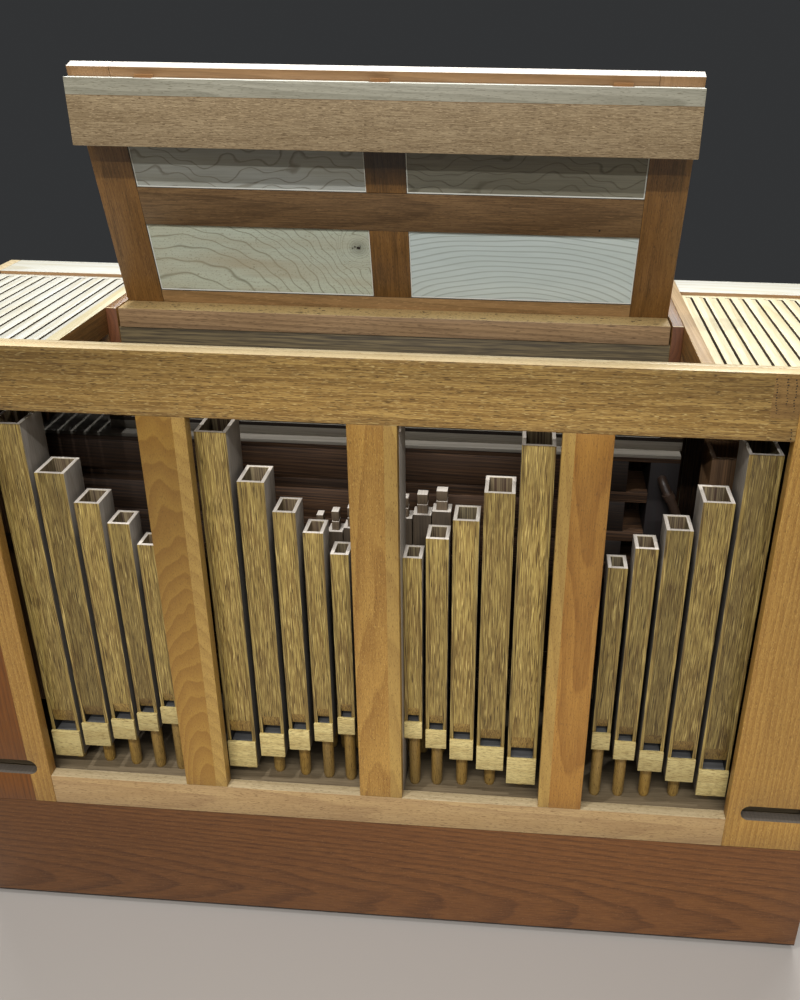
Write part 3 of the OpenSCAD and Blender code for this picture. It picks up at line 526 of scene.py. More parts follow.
def give_grain(piece, axes=UPRIGHT, along=None, cuts=None, pith=(30, 70), slope=0.03,
               side=None, spread=1.0, seed=1):
    """Writes the attributes grain (mm from the pith) and tone on every corner of the piece.

    axes are the board's own directions, along the number of the grain's axis or None for the
    longest side, and cuts a list of X values in metres that part glued strips. The pith lies
    pith millimetres deep, sinks by slope along the board, which draws arches, and lies side
    millimetres beside the board's middle, which draws straight lines where it is far. The
    tones of strips lie within spread either way.
    """
    mesh = piece.data
    draw = random.Random(seed)
    mesh.attributes.new("grain", "FLOAT_VECTOR", "CORNER")
    mesh.attributes.new("tone", "FLOAT", "CORNER")
    grain, tone = mesh.attributes["grain"].data, mesh.attributes["tone"].data
    for group in islands(mesh):
        corners = [mesh.vertices[v].co for f in group for v in mesh.polygons[f].vertices]
        spans = [[c.dot(a) for c in corners] for a in axes]
        size = [max(s) - min(s) for s in spans]
        middle = [(max(s) + min(s)) / 2 for s in spans]
        order = sorted(range(3), key=lambda i: -size[i])
        if along is not None:
            order = [along] + [i for i in order if i != along]
        reach = side or [part * size[order[1]] / MM for part in (-0.4, 0.4)]
        strips = [(draw.uniform(0, 4000), draw.uniform(*reach), draw.uniform(*pith),
                   draw.uniform(-spread, spread)) for _ in range(len(cuts or []) + 1)]
        for f in group:
            polygon = mesh.polygons[f]
            strip = strips[sum(polygon.center.x > cut for cut in cuts or [])]
            for corner, vertex in zip(polygon.loop_indices, polygon.vertices):
                place = mesh.vertices[vertex].co
                board = [(place.dot(axes[i]) - middle[i]) / MM for i in order]
                grain[corner].vector = (board[0] + strip[0], board[1] + strip[1],
                                        board[2] + strip[2] + slope * board[0])
                tone[corner].value = strip[3]


def dress(node, name, bevel=1.0, cuts=None, splits=(), finish=None, arris=None, **grain):
    """A bevelled, grained copy of a CAD node that stands for it. Its edges may have a finish."""
    piece = bpy.data.objects.new(name, nodes[node].data.copy())
    bpy.context.scene.collection.objects.link(piece)
    imported_normals = piece.data.attributes.get("custom_normal")
    if imported_normals:
        piece.data.attributes.remove(imported_normals)
    only(piece)
    bpy.ops.object.mode_set(mode="EDIT")
    bpy.ops.mesh.select_all(action="SELECT")
    bpy.ops.mesh.remove_doubles(threshold=0.00001)
    bpy.ops.mesh.dissolve_limited(angle_limit=math.radians(0.5))
    for place, way in [((x, 0, 0), (1, 0, 0)) for x in cuts or []] + list(splits):
        bpy.ops.mesh.select_all(action="SELECT")
        bpy.ops.mesh.bisect(plane_co=place, plane_no=way)
    bpy.ops.mesh.select_all(action="SELECT")
    bpy.ops.object.mode_set(mode="OBJECT")
    if bevel:
        edge = piece.modifiers.new("sanded edges", "BEVEL")
        edge.width = bevel * MM
        edge.segments = 2
        edge.limit_method = "ANGLE"
        edge.angle_limit = math.radians(40)
        edge.use_clamp_overlap = False
        edge.material = 1 if arris else -1
        piece.data.materials.clear()
        for wood_name in (finish or SLOT[node], arris or finish or SLOT[node]):
            piece.data.materials.append(MATERIALS[wood_name])
        bpy.ops.object.modifier_apply(modifier=edge.name)
    bpy.ops.object.shade_smooth_by_angle(angle=math.radians(32))
    give_grain(piece, cuts=cuts, **grain)
    if not bevel:
        piece.data.materials.clear()
        piece.data.materials.append(MATERIALS[finish or SLOT[node]])
    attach(piece, BODY[node])
    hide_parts(node)
    return piece


def repaint(piece, wood_name, facing=None, where=None):
    """Gives another finish to the faces that look one way, or that pass a test."""
    piece.data.materials.append(MATERIALS[wood_name])
    for polygon in piece.data.polygons:
        if facing is None or polygon.normal.dot(Vector(facing)) > 0.8:
            if where is None or where(polygon):
                polygon.material_index = len(piece.data.materials) - 1


def smooth(low, high, value):
    """0 at low, 1 at high, with soft ends."""
    part = min(max((value - low) / (high - low), 0), 1)
    return part * part * (3 - 2 * part)


def grade(piece, amount):
    """Adds amount(place) to every corner's tone: painted shade and light, and some real tone."""
    mesh = piece.data
    tone = mesh.attributes["tone"].data
    for polygon in mesh.polygons:
        for corner, vertex in zip(polygon.loop_indices, polygon.vertices):
            tone[corner].value += amount(mesh.vertices[vertex].co)


def planes(values, way):
    """Bisect planes across the unit vector way, at places in millimetres."""
    return [(tuple(Vector(way) * MM * value), way) for value in values]


def facing_in(mesh):
    """The numbers of the upright faces that look towards the middle of their own solid."""
    found = set()
    for group in islands(mesh):
        spots = [mesh.polygons[f].center for f in group]
        middle = Vector([(max(s[i] for s in spots) + min(s[i] for s in spots)) / 2
                         for i in range(3)])
        found.update(f for f in group if abs(mesh.polygons[f].normal.z) < 0.5
                     and mesh.polygons[f].normal.dot(middle - mesh.polygons[f].center) > 0)
    return found


print("helpers for boards are ready")

# %% [markdown]
# ## Plinth and case
# The plinth boards run the whole width. The frame above is glued up from strips, which show
# as changes of tone: the photo has one lighter strip at one side of each post and several
# in each end panel. The cuts below are where those glue lines lie.

# %% Plinth and case
UP, FRONT, BACK = (0, 0, 1), (0, -1, 0), (0, 1, 0)
LEFT, RIGHT = (-1, 0, 0), (1, 0, 0)
SHADOW_EDGE_MM = 12.8  # painted contact shadow up to here; 10 mm of it is open to the floor
RAIL_JOINT = 0.5045  # where the top rail's browner end piece starts
for seed, (node, bevel) in enumerate({"base_runners": 1, "plinth_back": 1.2,
                                      "plinth_sides": 1.2, "plinth_deck": 0}.items()):
    dress(node, node + "_boards", bevel, seed=40 + seed, pith=(20, 45))
plinth = dress("plinth_front", "plinth_front_board", 1.2, pith=(138, 142), side=(66, 70),
               slope=0.067, spread=0, seed=45,
               splits=planes(range(-600, 700, 100), RIGHT) + planes([SHADOW_EDGE_MM], UP))
# Painted shade: the plinth darkens towards its left end, where less light falls.
grade(plinth, lambda place: 1.7 * smooth(-0.7, 0.4, place.x) - 1.3)
# Painted shadow: the plinth's top face in the gap under the case, and its lower edge.
repaint(plinth, "dark_spot", UP)
repaint(plinth, "dark_spot", where=lambda face: face.center.z < SHADOW_EDGE_MM * MM)
UPRIGHT_STEPS = planes(range(300, 900, 60), UP)
POSTS = {"front_post_left": (-0.2665, 0.2, "arched_beech"),
         "front_post_centre": (0.0155, 0.05, "beech"),
         "front_post_right": (0.2655, -0.04, "right_beech")}
for seed, (node, (cut, slope, board)) in enumerate(POSTS.items()):
    post = dress(node, node + "_glued", 1.0, cuts=[cut], splits=UPRIGHT_STEPS, finish=board,
                 seed=11 + seed, pith=(100, 105), side=(-13, -11), slope=slope, spread=0)
    # Painted shade: the posts darken towards the top, where less light falls.
    grade(post, lambda place: 1.2 - 2.6 * smooth(0.35, 0.85, place.z))
    strip_side = -1 if node == "front_post_right" else 1
    repaint(post, "strip_beech", where=lambda face: (face.center.x - cut) * strip_side > 0)
PANEL_CUTS = {"left": [-0.655, -0.618, -0.575], "right": [0.575, 0.61, 0.655]}
for seed, (side, cuts) in enumerate(PANEL_CUTS.items()):
    panel = dress("front_end_panel_" + side, "end_panel_" + side, 1.0, cuts=cuts,
                  splits=UPRIGHT_STEPS, finish="red_end_beech" if side == "left" else None,
                  seed=21 + 3 * seed, pith=(5, 20), side=(60, 130), spread=0.5)
    if side == "left":
        repaint(panel, "beech", where=lambda face: face.center.x > cuts[-1])
    # Painted shade: the end panels darken towards the top, where less light falls.
    grade(panel, lambda place: -0.4 - 0.8 * smooth(0.35, 0.85, place.z))
    # Painted highlight: the upper top faces are the paler beech.
    repaint(panel, "top_edge", UP, lambda face: face.center.z > cad_high.z * 0.7)
    # Painted shade: the back faces have the dark inner finish.
    repaint(panel, "inner_wood", BACK)
    repaint(panel, "slot_grey", where=lambda face: 0.272 < face.center.z < 0.295
            and face.normal.y > -0.5)
rail = dress("front_top_rail", "front_top_rail_glued", 1.0, cuts=[RAIL_JOINT],
             finish="rail_beech", seed=60, spread=0, pith=(20, 30), side=(50, 60),
             splits=planes(range(-500, 600, 100), RIGHT) + planes(range(930, 1000, 15), UP))
# Real tone darkens the rail towards its top edge; painted shade darkens it towards both ends.
grade(rail, lambda place: 0.8 - 1.1 * smooth(0.93, 1.0, place.z)
      - 0.9 * smooth(0.15, 0.6, abs(place.x - 0.05)) - 0.3 * smooth(0.1, 0.5, -place.x))
repaint(rail, "rail_end_beech",
        where=lambda face: face.center.x > RAIL_JOINT and face.center.z > 0.945)
# Painted highlight on the top face, painted shade on the back face.
repaint(rail, "rail_top", UP)
repaint(rail, "inner_wood", BACK)
low_rail = dress("front_bottom_rail", "front_bottom_rail_sanded", 1.0, finish="low_beech", seed=61)
repaint(low_rail, "sill_top", UP)
for seed, (node, inward) in enumerate({"side_panel_left": RIGHT, "side_panel_right": LEFT,
                                       "top_lining": BACK, "back_rails": FRONT,
                                       "back_posts": FRONT}.items()):
    piece = dress(node, node + "_sanded", 1.0, seed=62 + seed)
    # Painted highlight on the top faces, painted shade on the inward faces.
    repaint(piece, "top_edge", UP)
    repaint(piece, "inner_wood", inward)
print("case boards dressed")

# %% [markdown]
# ## Top, desk and keyboard
# The grilles are single boards with routed slots. The desk rail carries the open lid, and
# behind it, on the player's side, lie the key bed, the keys and the name board.

# %% Top, desk and keyboard
# The left grille and the back boards get the maple painted lighter as sheen.
DESK_FINISH = {"desk_board": "desk_board_wood", "key_bed": "shelf_wood",
               "desk_rail": "desk_wood", "grille_left": "maple_painted_sheen",
               "top_back_boards": "maple_painted_sheen"}
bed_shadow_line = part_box("key_bed")[1].z - 6 * MM
BED_STEPS = [((0, 0, bed_shadow_line), UP)] + planes((-360, -300, -250), RIGHT)


def shade_in_bay_1(place):
    """Painted shade on what stands behind the first bay, the darkest part of the inside."""
    return 1.3 * smooth(-0.36, -0.25, place.x) - 1.3


top_pieces = {}
for seed, (node, bevel) in enumerate({
        "well_borders": 0.8, "grille_left": 0.6, "grille_right": 0.6, "top_back_boards": 0.8,
        "desk_rail": 1.0, "desk_board": 0.6, "key_cheeks": 1.2, "key_bed": 0.8, "key_slip": 1.5,
        "key_frame": 0, "key_blocks": 1.0, "natural_keys": 0.6, "sharp_keys": 1.0,
        "name_board": 1.0, "desk_shelf": 1.0}.items()):
    top_pieces[node] = dress(node, node + "_finished", bevel, seed=80 + seed,
                             finish=DESK_FINISH.get(node),
                             splits=BED_STEPS if node == "key_bed" else (),
                             spread=0 if node == "key_bed" else 1)
# Painted shade behind the first bay, and a painted shadow line along the key bed's front top.
grade(top_pieces["key_bed"], shade_in_bay_1)
repaint(top_pieces["key_bed"], "dark_spot", FRONT, lambda face: face.center.z > bed_shadow_line)
repaint(top_pieces["desk_rail"], "pitted_beech", UP)
repaint(top_pieces["well_borders"], "lid_wood",
        where=lambda face: abs(face.normal.z) < 0.7)
repaint(top_pieces["well_borders"], "border_top", UP)
# Painted highlight: the border's top at the left is the paler maple.
repaint(top_pieces["well_borders"], "pale_wood", UP, lambda face: face.center.x < -0.4)
# Painted highlight on the cheeks' top faces.
repaint(top_pieces["key_cheeks"], "rail_top", UP, lambda face: face.center.y < -0.05)
repaint(top_pieces["key_cheeks"], "cheek_end", FRONT)
repaint(top_pieces["top_back_boards"], "head_beech", FRONT)
# Painted shade: the slot walls inside each grille are dark.
for side in ("grille_left", "grille_right"):
    low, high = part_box(side)
    repaint(top_pieces[side], "slot_wall", where=lambda face: face.normal.z < 0.5
            and low.x + 0.002 < face.center.x < high.x - 0.002)
print("desk and keyboard dressed")

# %% [markdown]
# ## Pipes
# Each front pipe is a square tube of four boards: pale sides and back, a striped front board
# that ends over the mouth, and a cap below it whose grain runs across. All twenty are
# in one piece a sort, and every board in it draws its own place in the log.

# %% Pipes
front_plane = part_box("pipe_walls")[0].y


def shade_walls(mesh, group):
    """Paints shade on a pipe's walls below the next pipe's top, where the neighbour keeps light
    out.
    """
    tone = mesh.attributes["tone"].data
    top = max(mesh.vertices[v].co.z for f in group for v in mesh.polygons[f].vertices)
    for f in (f for f in group if mesh.polygons[f].normal.y > -0.5):
        for corner, vertex in zip(mesh.polygons[f].loop_indices, mesh.polygons[f].vertices):
            tone[corner].value -= 2.4 * smooth(0.04, 0.12, top - mesh.vertices[vertex].co.z)


TONE_STEPS = planes(range(420, 940, 40), UP)
# Painted highlight: the walls' bevelled arrises get the light arris finish.
walls = dress("pipe_walls", "pipe_walls_glued", 0.6, arris="wall_edge", seed=120, pith=(15, 80),
              spread=0, splits=TONE_STEPS)
repaint(walls, "pipe_front", FRONT, lambda face: face.center.y < front_plane + 0.0005)
bores = facing_in(walls.data)
# Painted shade: the inward faces of each pipe have the dark bore finish.
repaint(walls, "pipe_inside", where=lambda face: face.index in bores)
# Painted highlight on the rims.
repaint(walls, "rim", UP)
for group in islands(walls.data):
    shade_walls(walls.data, group)
fronts = dress("pipe_fronts", "pipe_fronts_shaved", 0.35, seed=121, pith=(15, 80))
# Painted shade and light: fronts darker in the right half and darkest in the end bays.
grade(fronts, lambda place: 1.2 - 0.6 * smooth(-0.05, 0.05, place.x)
      - (1.8 if place.x < 0 else 1.5) * smooth(0.28, 0.32, abs(place.x)))
repaint(fronts, "pipe_lip", where=lambda face: face.normal.y < -0.5 and face.normal.z < -0.05)
# Painted highlight on the front boards' top faces.
repaint(fronts, "rim", UP)
blocks = dress("pipe_blocks", "pipe_blocks_made", 0.3, finish="pipe_side", along=0, seed=122)
# Painted shade: the block tops inside the mouths are dark grey.
repaint(blocks, "mouth_floor", UP)
BAY_STEPS = planes((-320, -250, 250, 320), RIGHT)


def in_end_bays(place):
    """Tone of what stands behind the first and the last bay, where less light comes in."""
    return 0.3 - (1.8 if place.x < 0 else 2.3) * smooth(0.24, 0.33, abs(place.x))


# Painted shade: the rack has the dark inner finish, the bass posts the near black end board.
PIPE_PARTS = [("pipe_caps", 0.6, 0, None), ("pipe_feet", 0, 2, "pipe_foot"),
              ("rear_pipes", 0.4, 2, "stopper_wood"), ("rear_stoppers", 0.6, 2, "stopper_wood"),
              ("rear_feet", 0, 2, "pipe_foot"), ("corner_pipes", 0.6, 2, "corner_wood"),
              ("centre_batten", 0.6, 2, None), ("pipe_rack", 0.8, 0, "inner_wood"),
              ("wind_chest", 0, 0, None), ("bass_pipes", 0.8, 0, None),
              ("bass_posts", 0.8, 2, "end_board")]
for seed, (node, bevel, along, finish) in enumerate(PIPE_PARTS):
    piece = dress(node, node + "_made", bevel, along=along, finish=finish, seed=130 + seed,
                  pith=(15, 80), spread=0.4,
                  splits=BAY_STEPS if node == "bass_pipes" else ())
    if node == "rear_pipes":
        grade(piece, lambda place: -3)
    if node == "pipe_caps":
        # Painted shade: the caps in the end bays are darker.
        grade(piece, lambda place: -1.1 * smooth(0.28, 0.32, abs(place.x)))
    if node in ("rear_pipes", "rear_stoppers"):
        # Painted highlight on the rims.
        repaint(piece, "rim", UP)
    if node in ("bass_pipes", "bass_posts"):
        grade(piece, in_end_bays)
toe_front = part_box("toe_board")[0].y
toe_board = dress("toe_board", "toe_board_bored", 0.4, finish="toe_wood", along=0, seed=145,
                  spread=0, splits=planes([toe_front / MM + step for step in (30, 60, 90)], BACK))
# Painted shade: the toe board darkens towards the back, deeper in the case.
grade(toe_board, lambda place: -1.5 * smooth(0.02, 0.1, place.y - toe_front))
dress("wind_tube", "wind_tube_bent", 0, finish="tube_wood", along=2, seed=146)
shelf_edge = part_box("bass_shelves")[1].z - 5 * MM
# Painted shade: dark inner finish, darker behind the first bay; the top 5 mm is pale pine.
shelves = dress("bass_shelves", "bass_shelves_planed", 0.8, finish="inner_wood", along=0,
                seed=147, spread=0,
                splits=[((0, 0, shelf_edge), UP)] + planes((-360, -300, -250), RIGHT))
grade(shelves, shade_in_bay_1)
repaint(shelves, "shelf_wood", where=lambda face: face.center.z > shelf_edge)
print("pipes dressed")

# %% [markdown]
# ## Lid and flap
# The lid's frame leans, so its boards are measured along its own directions. The flap is
# glued up from a pale strip along its top and a browner board below it, and so is its finish.

# %% Lid and flap
MEMBER, LID_HEIGHT, LID_WIDTH, LINE = 55, 374, 797, 1.4
CASE_TOP_S = 35.4
DUSK = (181, 216)  # heights over the case top between which the flap's shade falls on the frame
PANEL_DUSK = (212, 236)
LID_LOW = min(v.co.dot(LID_ALONG) for v in nodes["lid_rails"].data.vertices) / MM
LID_ZERO = LID_LOW + CASE_TOP_S
FRAME_OUT = max(v.co.dot(LID_OUT) for v in nodes["lid_rails"].data.vertices)


def in_opening(face):
    """Whether a face of the lid's frame is an edge of one of its four openings."""
    u, s = abs(face.center.x) / MM, face.center.dot(LID_ALONG) / MM
    inside = u < LID_WIDTH / 2 - 1.5 and LID_LOW + 1.5 < s < LID_LOW + LID_HEIGHT - 1.5
    return inside and abs(face.normal.dot(LID_OUT)) < 0.6


for seed, (node, wood_name) in enumerate({"lid_stiles": "lid_wood", "lid_rails": "lid_rail_wood",
                                          "lid_muntins": "lid_wood"}.items()):
    member = dress(node, node + "_framed", 0.8, axes=LEANING, finish=wood_name, seed=160 + seed,
                   splits=planes([LID_LOW + LID_HEIGHT - MEMBER, LID_ZERO + DUSK[0],
                                  LID_ZERO + DUSK[1] - 1], tuple(LID_ALONG)))
    shade = 4.4 if node == "lid_muntins" else 1.6
    grade(member, lambda place: -shade * smooth(*DUSK, place.dot(LID_ALONG) / MM - LID_ZERO))
    repaint(member, "head_beech",
            where=lambda face: face.center.dot(LID_ALONG) / MM > LID_LOW + LID_HEIGHT - MEMBER)
    if node == "lid_rails":
        # Painted light: the rail at the lid's foot is paler.
        repaint(member, "lid_low_wood",
                where=lambda face: face.center.dot(LID_ALONG) / MM < LID_LOW + MEMBER + 1)
    # Painted shadow: the edges of the frame's openings are dark.
    repaint(member, "dark_spot", where=in_opening)
    # Painted highlight: the lid's top face is near white.
    repaint(member, "rim", tuple(LID_ALONG),
            lambda face: face.center.dot(LID_ALONG) / MM > LID_LOW + LID_HEIGHT - 2)
flap_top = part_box("flap_board")[1].z
FLAP_STRIP, FLAP_LINE = 20.5 * MM, 0.5 * MM
flap = dress("flap_board", "flap_board_glued", 1.0, finish="flap_beech", seed=171,
             splits=[((0, 0, flap_top - drop), UP)
                     for drop in (FLAP_STRIP, FLAP_STRIP + FLAP_LINE)])
repaint(flap, "flap_top", where=lambda face: face.center.z > flap_top - FLAP_STRIP)
repaint(flap, "lid_wood", where=lambda face: 0 < flap_top - FLAP_STRIP - face.center.z < FLAP_LINE)
# Painted highlight: the flap's top face has the white line's finish.
repaint(flap, "panel_line", UP)
for seed, node in enumerate(["lid_pivots", "flap_lugs", "flap_pins"]):
    dress(node, node + "_turned", 0.2 if node == "flap_lugs" else 0, seed=175 + seed)
print("lid and flap dressed")

# %% [markdown]
# ## Ash panels
# The four panels show bold rings that no straight log gives: they bend, arch, and in the
# lower left panel they wind round a knot. So each panel is cut into a fine grid and the
# height of the ring pattern is worked out at every corner.

# %% Ash panels


def ring_field(piece, field, axes):
    """Writes the attribute rings: field(across, up, deep) at every corner, in millimetres."""
    mesh = piece.data
    mesh.attributes.new("rings", "FLOAT", "CORNER")
    rings = mesh.attributes["rings"].data
    for polygon in mesh.polygons:
        for corner, vertex in zip(polygon.loop_indices, polygon.vertices):
            place = mesh.vertices[vertex].co
            rings[corner].value = field(*[place.dot(axes[i]) / MM for i in (0, 2, 1)])


def plain_rings(across, up, deep):
    """Nearly straight rings for the panels that the photo doesn't show."""
    return across * 0.6 + deep * 0.8 + 12 * math.sin(up / 180)


KNOT = (-44.5, 95.5)
KNOT_R = 20.0
ROW_SPLIT = 150


def lid_rings(across, along, deep):
    """The rings on the lid's panels: a knot, two sets of arches and a wild one."""
    up = along - LID_ZERO
    if up < ROW_SPLIT and across < 0:
        off = (across - KNOT[0], up - KNOT[1])
        far = math.hypot(*off)
        pull = 1 - KNOT_R ** 2 / (far * far + KNOT_R ** 2)
        around = math.hypot(0.85 * (KNOT[0] + off[0] * pull + 305), KNOT[1] + off[1] * pull + 44)
        around += 2.4 * math.sin(across / 17 + up / 11) + 1.5 * math.sin(across / 7.3 - up / 9)
        wide = 0.36 * around + 0.64 * max(around - 120, 0) ** 2 / 260
        flow = wide if around < 250 else around - 118.4
        return flow + (112 + far * 2.7 - flow) * (1 - smooth(13, 34, far))
    if up < ROW_SPLIT:
        bend = (across - 175) ** 2 * (0.0006 + max(95 - up, 0) * 0.000012)
        return up + bend + 1.2 * math.sin(across / 23 + up / 14)
    waves = 16 * math.sin(across / 47) + 9 * math.sin(across / 17 + up / 13)
    return up * 1.4 + waves + 5 * math.sin(across / 7 - up / 8)


PANEL_HIGH = (LID_HEIGHT - 3 * MEMBER) / 2
OPEN_U = (MEMBER / 2, LID_WIDTH / 2 - MEMBER)
OPEN_S = [LID_LOW + MEMBER + row * (PANEL_HIGH + MEMBER) + edge for row in (0, 1)
          for edge in (0, PANEL_HIGH)]


def on_line(face):
    """Whether a panel's face lies on the white line along the frame's opening."""
    u, s = abs(face.center.x) / MM, face.center.dot(LID_ALONG) / MM
    low, high = OPEN_S[:2] if s < LID_ZERO + ROW_SPLIT else OPEN_S[2:]
    return (face.normal.dot(LID_OUT) > 0.9
            and not (OPEN_U[0] + LINE < u < OPEN_U[1] - LINE and low + LINE < s < high - LINE))


back_panels = dress("back_panels", "back_panels_ash", 0.6, seed=181)
ring_field(back_panels, plain_rings, UPRIGHT)
# Painted shade: the panels' inner faces have the dark inner finish.
repaint(back_panels, "inner_wood", FRONT)
steps_u = [-396 + 6 * i for i in range(133)] + [KNOT[0] - 34 + 2 * i for i in range(35)]
steps_s = [LID_LOW + 5 * i for i in range(1, 75)] + [LID_ZERO + KNOT[1] - 34 + 2 * i
                                                    for i in range(35)]
line_u = [side * u for side in (-1, 1) for u in (OPEN_U[0] + LINE, OPEN_U[1] - LINE)]
line_s = [s + (LINE if i % 2 == 0 else -LINE) for i, s in enumerate(OPEN_S)]
lid_panels = dress("lid_panels", "lid_panels_ash", 0, axes=LEANING, seed=182,
                   splits=planes(steps_u + line_u, RIGHT)
                   + planes(steps_s + line_s, tuple(LID_ALONG)))
ring_field(lid_panels, lid_rings, LEANING)
repaint(lid_panels, "cool_panel", where=lambda face: face.center.x > 0)
repaint(lid_panels, "veined_panel",
        where=lambda face: face.center.dot(LID_ALONG) / MM > LID_ZERO + ROW_SPLIT)
repaint(lid_panels, "brown_panel", where=lambda face: face.center.x > 0
        and face.center.dot(LID_ALONG) / MM > LID_ZERO + ROW_SPLIT)
repaint(lid_panels, "panel_line", where=on_line)


def panel_shade(place):
    """Tone of a lid panel: painted shade under the flap's edge, real darkening round the knot."""
    up = place.dot(LID_ALONG) / MM - LID_ZERO
    far = math.hypot(place.x / MM - KNOT[0], up - KNOT[1])
    return -1.6 * smooth(*PANEL_DUSK, up) - 1.8 * (1 - smooth(3, 17, far))


grade(lid_panels, panel_shade)
print("panels dressed:", len(lid_panels.data.polygons), "faces")

# %% [markdown]
# ## Small marks
# Dark pits show where the borer's tracks and pin holes were filled, most of them at the right
# end of the top rail and along the desk rail, and one knot in the lower left panel. Each is a
# copy of one small domed plug of filler: a disc with an uneven edge, inset and pulled up a
# tenth of a millimetre. A white wedge holds the batten behind the middle post.

# %% Small marks
CASE_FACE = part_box("front_top_rail")[0].y
DESK_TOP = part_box("desk_rail")[1].z


def one_plug():
    """A plug 1 mm in radius: a disc with an uneven edge, inset and pulled up in its middle."""
    draw = random.Random(9)
    bpy.ops.object.select_all(action="DESELECT")
    bpy.ops.mesh.primitive_circle_add(vertices=12, radius=MM, fill_type="NGON")
    plug = bpy.context.object
    for vertex in plug.data.vertices:
        vertex.co *= draw.uniform(0.8, 1.15)
    bpy.ops.object.mode_set(mode="EDIT")
    bpy.ops.mesh.select_all(action="SELECT")
    bpy.ops.mesh.inset(thickness=0.35 * MM)
    bpy.ops.transform.translate(value=(0, 0, 0.1 * MM))
    bpy.ops.object.mode_set(mode="OBJECT")
    return plug


def plugs(name, places, way, node, seed):
    """Copies of one plug at places, each (middle, radius in mm, stretch along X)."""
    draw = random.Random(seed)
    facing = Vector((0, 0, 1)).rotation_difference(Vector(way)).to_matrix().to_4x4()
    first = one_plug()
    made = []
    for middle, radius, stretch in places:
        copy = bpy.data.objects.new(name, first.data.copy())
        bpy.context.scene.collection.objects.link(copy)
        spin = Matrix.Rotation(draw.uniform(0, 2 * math.pi), 4, "Z")
        size = Matrix.Diagonal((radius * stretch, radius, 1, 1))
        spot = Matrix.Translation(Vector(middle) + Vector(way) * 0.05 * MM)
        copy.data.transform(spot @ facing @ size @ spin)
        made.append(copy)
    bpy.data.objects.remove(first)
    bpy.ops.object.select_all(action="DESELECT")
    for copy in made:
        copy.select_set(True)
    bpy.context.view_layer.objects.active = made[0]
    bpy.ops.object.join()
    piece = bpy.context.object
    piece.name = name
    finish_mark(piece, "dark_spot", node, seed)
    return piece


def finish_mark(piece, wood_name, node, seed):
    """Grain, finish, slot and body of a small mark on a node's board."""
    give_grain(piece, seed=seed)
    piece.data.materials.append(MATERIALS[wood_name])
    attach(piece, BODY[node])


def batten_wedge():
    """The white wedge at the batten's top: a block dished on its outer face, edges rounded."""
    bpy.ops.object.select_all(action="DESELECT")
    bpy.ops.mesh.primitive_cube_add(size=1, location=(0.035, -0.285, 0.903))
    piece = bpy.context.object
    piece.name = "batten_wedge"
    piece.scale = (2 * MM, 6 * MM, 10 * MM)
    bpy.ops.object.transform_apply(location=True, rotation=True, scale=True)
    bpy.ops.object.mode_set(mode="EDIT")
    bpy.ops.mesh.select_mode(type="FACE")
    bpy.ops.mesh.select_all(action="DESELECT")
    bpy.ops.object.mode_set(mode="OBJECT")
    for face in piece.data.polygons:
        face.select = face.normal.x > 0.9
    bpy.ops.object.mode_set(mode="EDIT")
    bpy.ops.mesh.inset(thickness=0.7 * MM)
    bpy.ops.transform.translate(value=(-0.4 * MM, 0, 0))
    bpy.ops.object.mode_set(mode="OBJECT")
    edge = piece.modifiers.new("rounded edges", "BEVEL")
    edge.width, edge.segments = 0.2 * MM, 2
    bpy.ops.object.modifier_apply(modifier=edge.name)
    finish_mark(piece, "rim", "centre_batten", 205)
    return piece


draw = random.Random(7)
columns = [(0.506, 0.13, 14, 0.952, 1.0), (0.5195, 0.1, 10, 0.965, 1.0),
           (0.5305, 0.05, 12, 0.955, 1.0), (0.535, 0.0, 4, 0.918, 0.935)]
rail_pits = []
for x, slant, count, z_low, z_high in columns:
    for i in range(count):
        z = z_low + (z_high - z_low) * i / count
        rail_pits.append(((x + slant * (1 - z) + draw.uniform(-0.001, 0.001), CASE_FACE, z),
                          draw.uniform(0.7, 1.2), 1.0))
plugs("rail_pits", rail_pits, FRONT, "front_top_rail", 201)
desk_pits = [((x, -0.11, DESK_TOP), 1.6, 3.2) for x in (-0.134, 0.134, 0.378)]
desk_pits += [((draw.uniform(-0.38, 0.38), draw.uniform(-0.116, -0.082), DESK_TOP),
               draw.uniform(0.9, 1.9), draw.uniform(1, 1.9)) for _ in range(56)]
plugs("desk_pits", desk_pits, UP, "desk_rail", 202)


def on_lid(u, s, out):
    """The place on the lid at u across, s over the case top and out from the frame's face."""
    return Vector((u * MM, 0, 0)) + LID_ALONG * (LID_ZERO + s) * MM + LID_OUT * (FRAME_OUT + out)


knot = [(on_lid(KNOT[0] + u, KNOT[1] + s, -0.003), size, 1.3)
        for u, s, size in ((0, 0, 2.4), (-5, 1.5, 1.2), (-8.5, -0.5, 1.0), (2.5, 3, 0.9))]
plugs("panel_knot", knot, tuple(LID_OUT), "lid_panels", 203)
plugs("lid_dot", [(on_lid(288.6, 133.4, 0), 1.5, 1.0)], tuple(LID_OUT), "lid_rails", 204)
batten_wedge()
print("marks made:", len(rail_pits) + len(desk_pits) + len(knot) + 2)

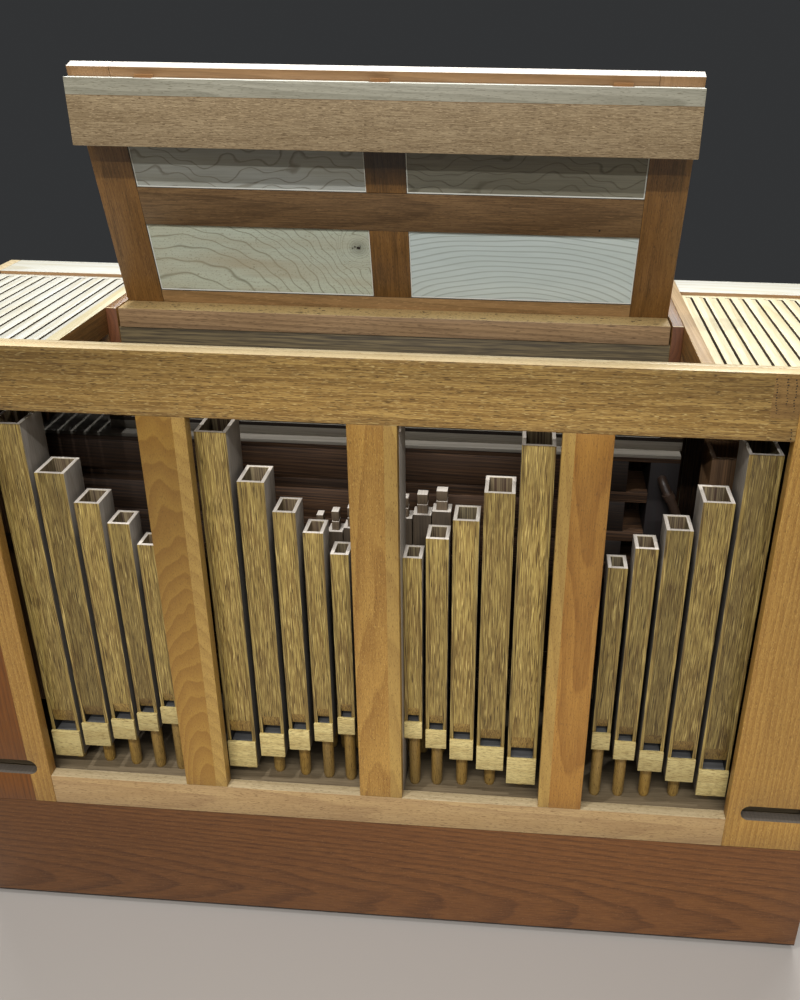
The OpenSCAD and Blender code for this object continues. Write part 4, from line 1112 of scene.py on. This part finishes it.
# %% [markdown]
# ## Stage
# The flap throws two straight shadows on the lid, one above the other, so the room has rows
# of long lamps. Their height above the horizon is read from the two shadow lines: 29 and 42
# degrees in front. The rows go on at steps of about two metres, so two more hang behind the
# case. The row above it is one small lamp, which shines through the left grille and draws
# slanting stripes behind the first bay. The floor is plain and pale.

# %% Floor and light
LAMP_Z = 4.0
LAMP_ROWS = {"far_row": (-5.257, 210), "near_row": (-3.32, 195), "top_row": (1.156, 85),
             "back_row": (3.294, 240)}
LAMP_SIZE = (4.0, 0.12)
TOP_LAMP, TOP_WATTS = (-0.5, -0.98, 4.0), 190


def lamp_row(name, y, watts):
    """One long soft lamp that hangs level and shines down."""
    bpy.ops.object.light_add(type="AREA", location=(0, y, LAMP_Z))
    lamp = bpy.context.object
    lamp.name = name
    lamp.data.shape = "RECTANGLE"
    lamp.data.size, lamp.data.size_y = LAMP_SIZE
    lamp.data.energy = watts
    return lamp


for name, (y, watts) in LAMP_ROWS.items():
    lamp_row(name, y, watts)
bpy.ops.object.light_add(type="SPOT", location=TOP_LAMP)
top_lamp = bpy.context.object
top_lamp.name = "top_lamp"
top_lamp.data.energy = TOP_WATTS
top_lamp.data.shadow_soft_size = 0.02
top_lamp.data.spot_size, top_lamp.data.spot_blend = math.radians(44), 0.6
aim = Vector((0, -0.1, 0.95)) - top_lamp.location
top_lamp.rotation_euler = aim.to_track_quat("-Z", "Y").to_euler()
bpy.ops.mesh.primitive_plane_add(size=5, location=(0, 0, 0))
floor = bpy.context.object
floor.name = "floor"
floor_paint, _, floor_shader = new_material("pale_floor", 0.6)
floor_shader.inputs["Base Color"].default_value = linear("#a39c95")
floor.data.materials.append(floor_paint)
floor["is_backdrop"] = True
world = bpy.data.worlds.new("room")
world.use_nodes = True
world.node_tree.nodes["Background"].inputs["Color"].default_value = linear("#e8ecf0")
world.node_tree.nodes["Background"].inputs["Strength"].default_value = 0.04
bpy.context.scene.world = world
bpy.context.scene.view_settings.view_transform = "Standard"
print("stage is set")

# %% Sizes, then the end
low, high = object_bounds()
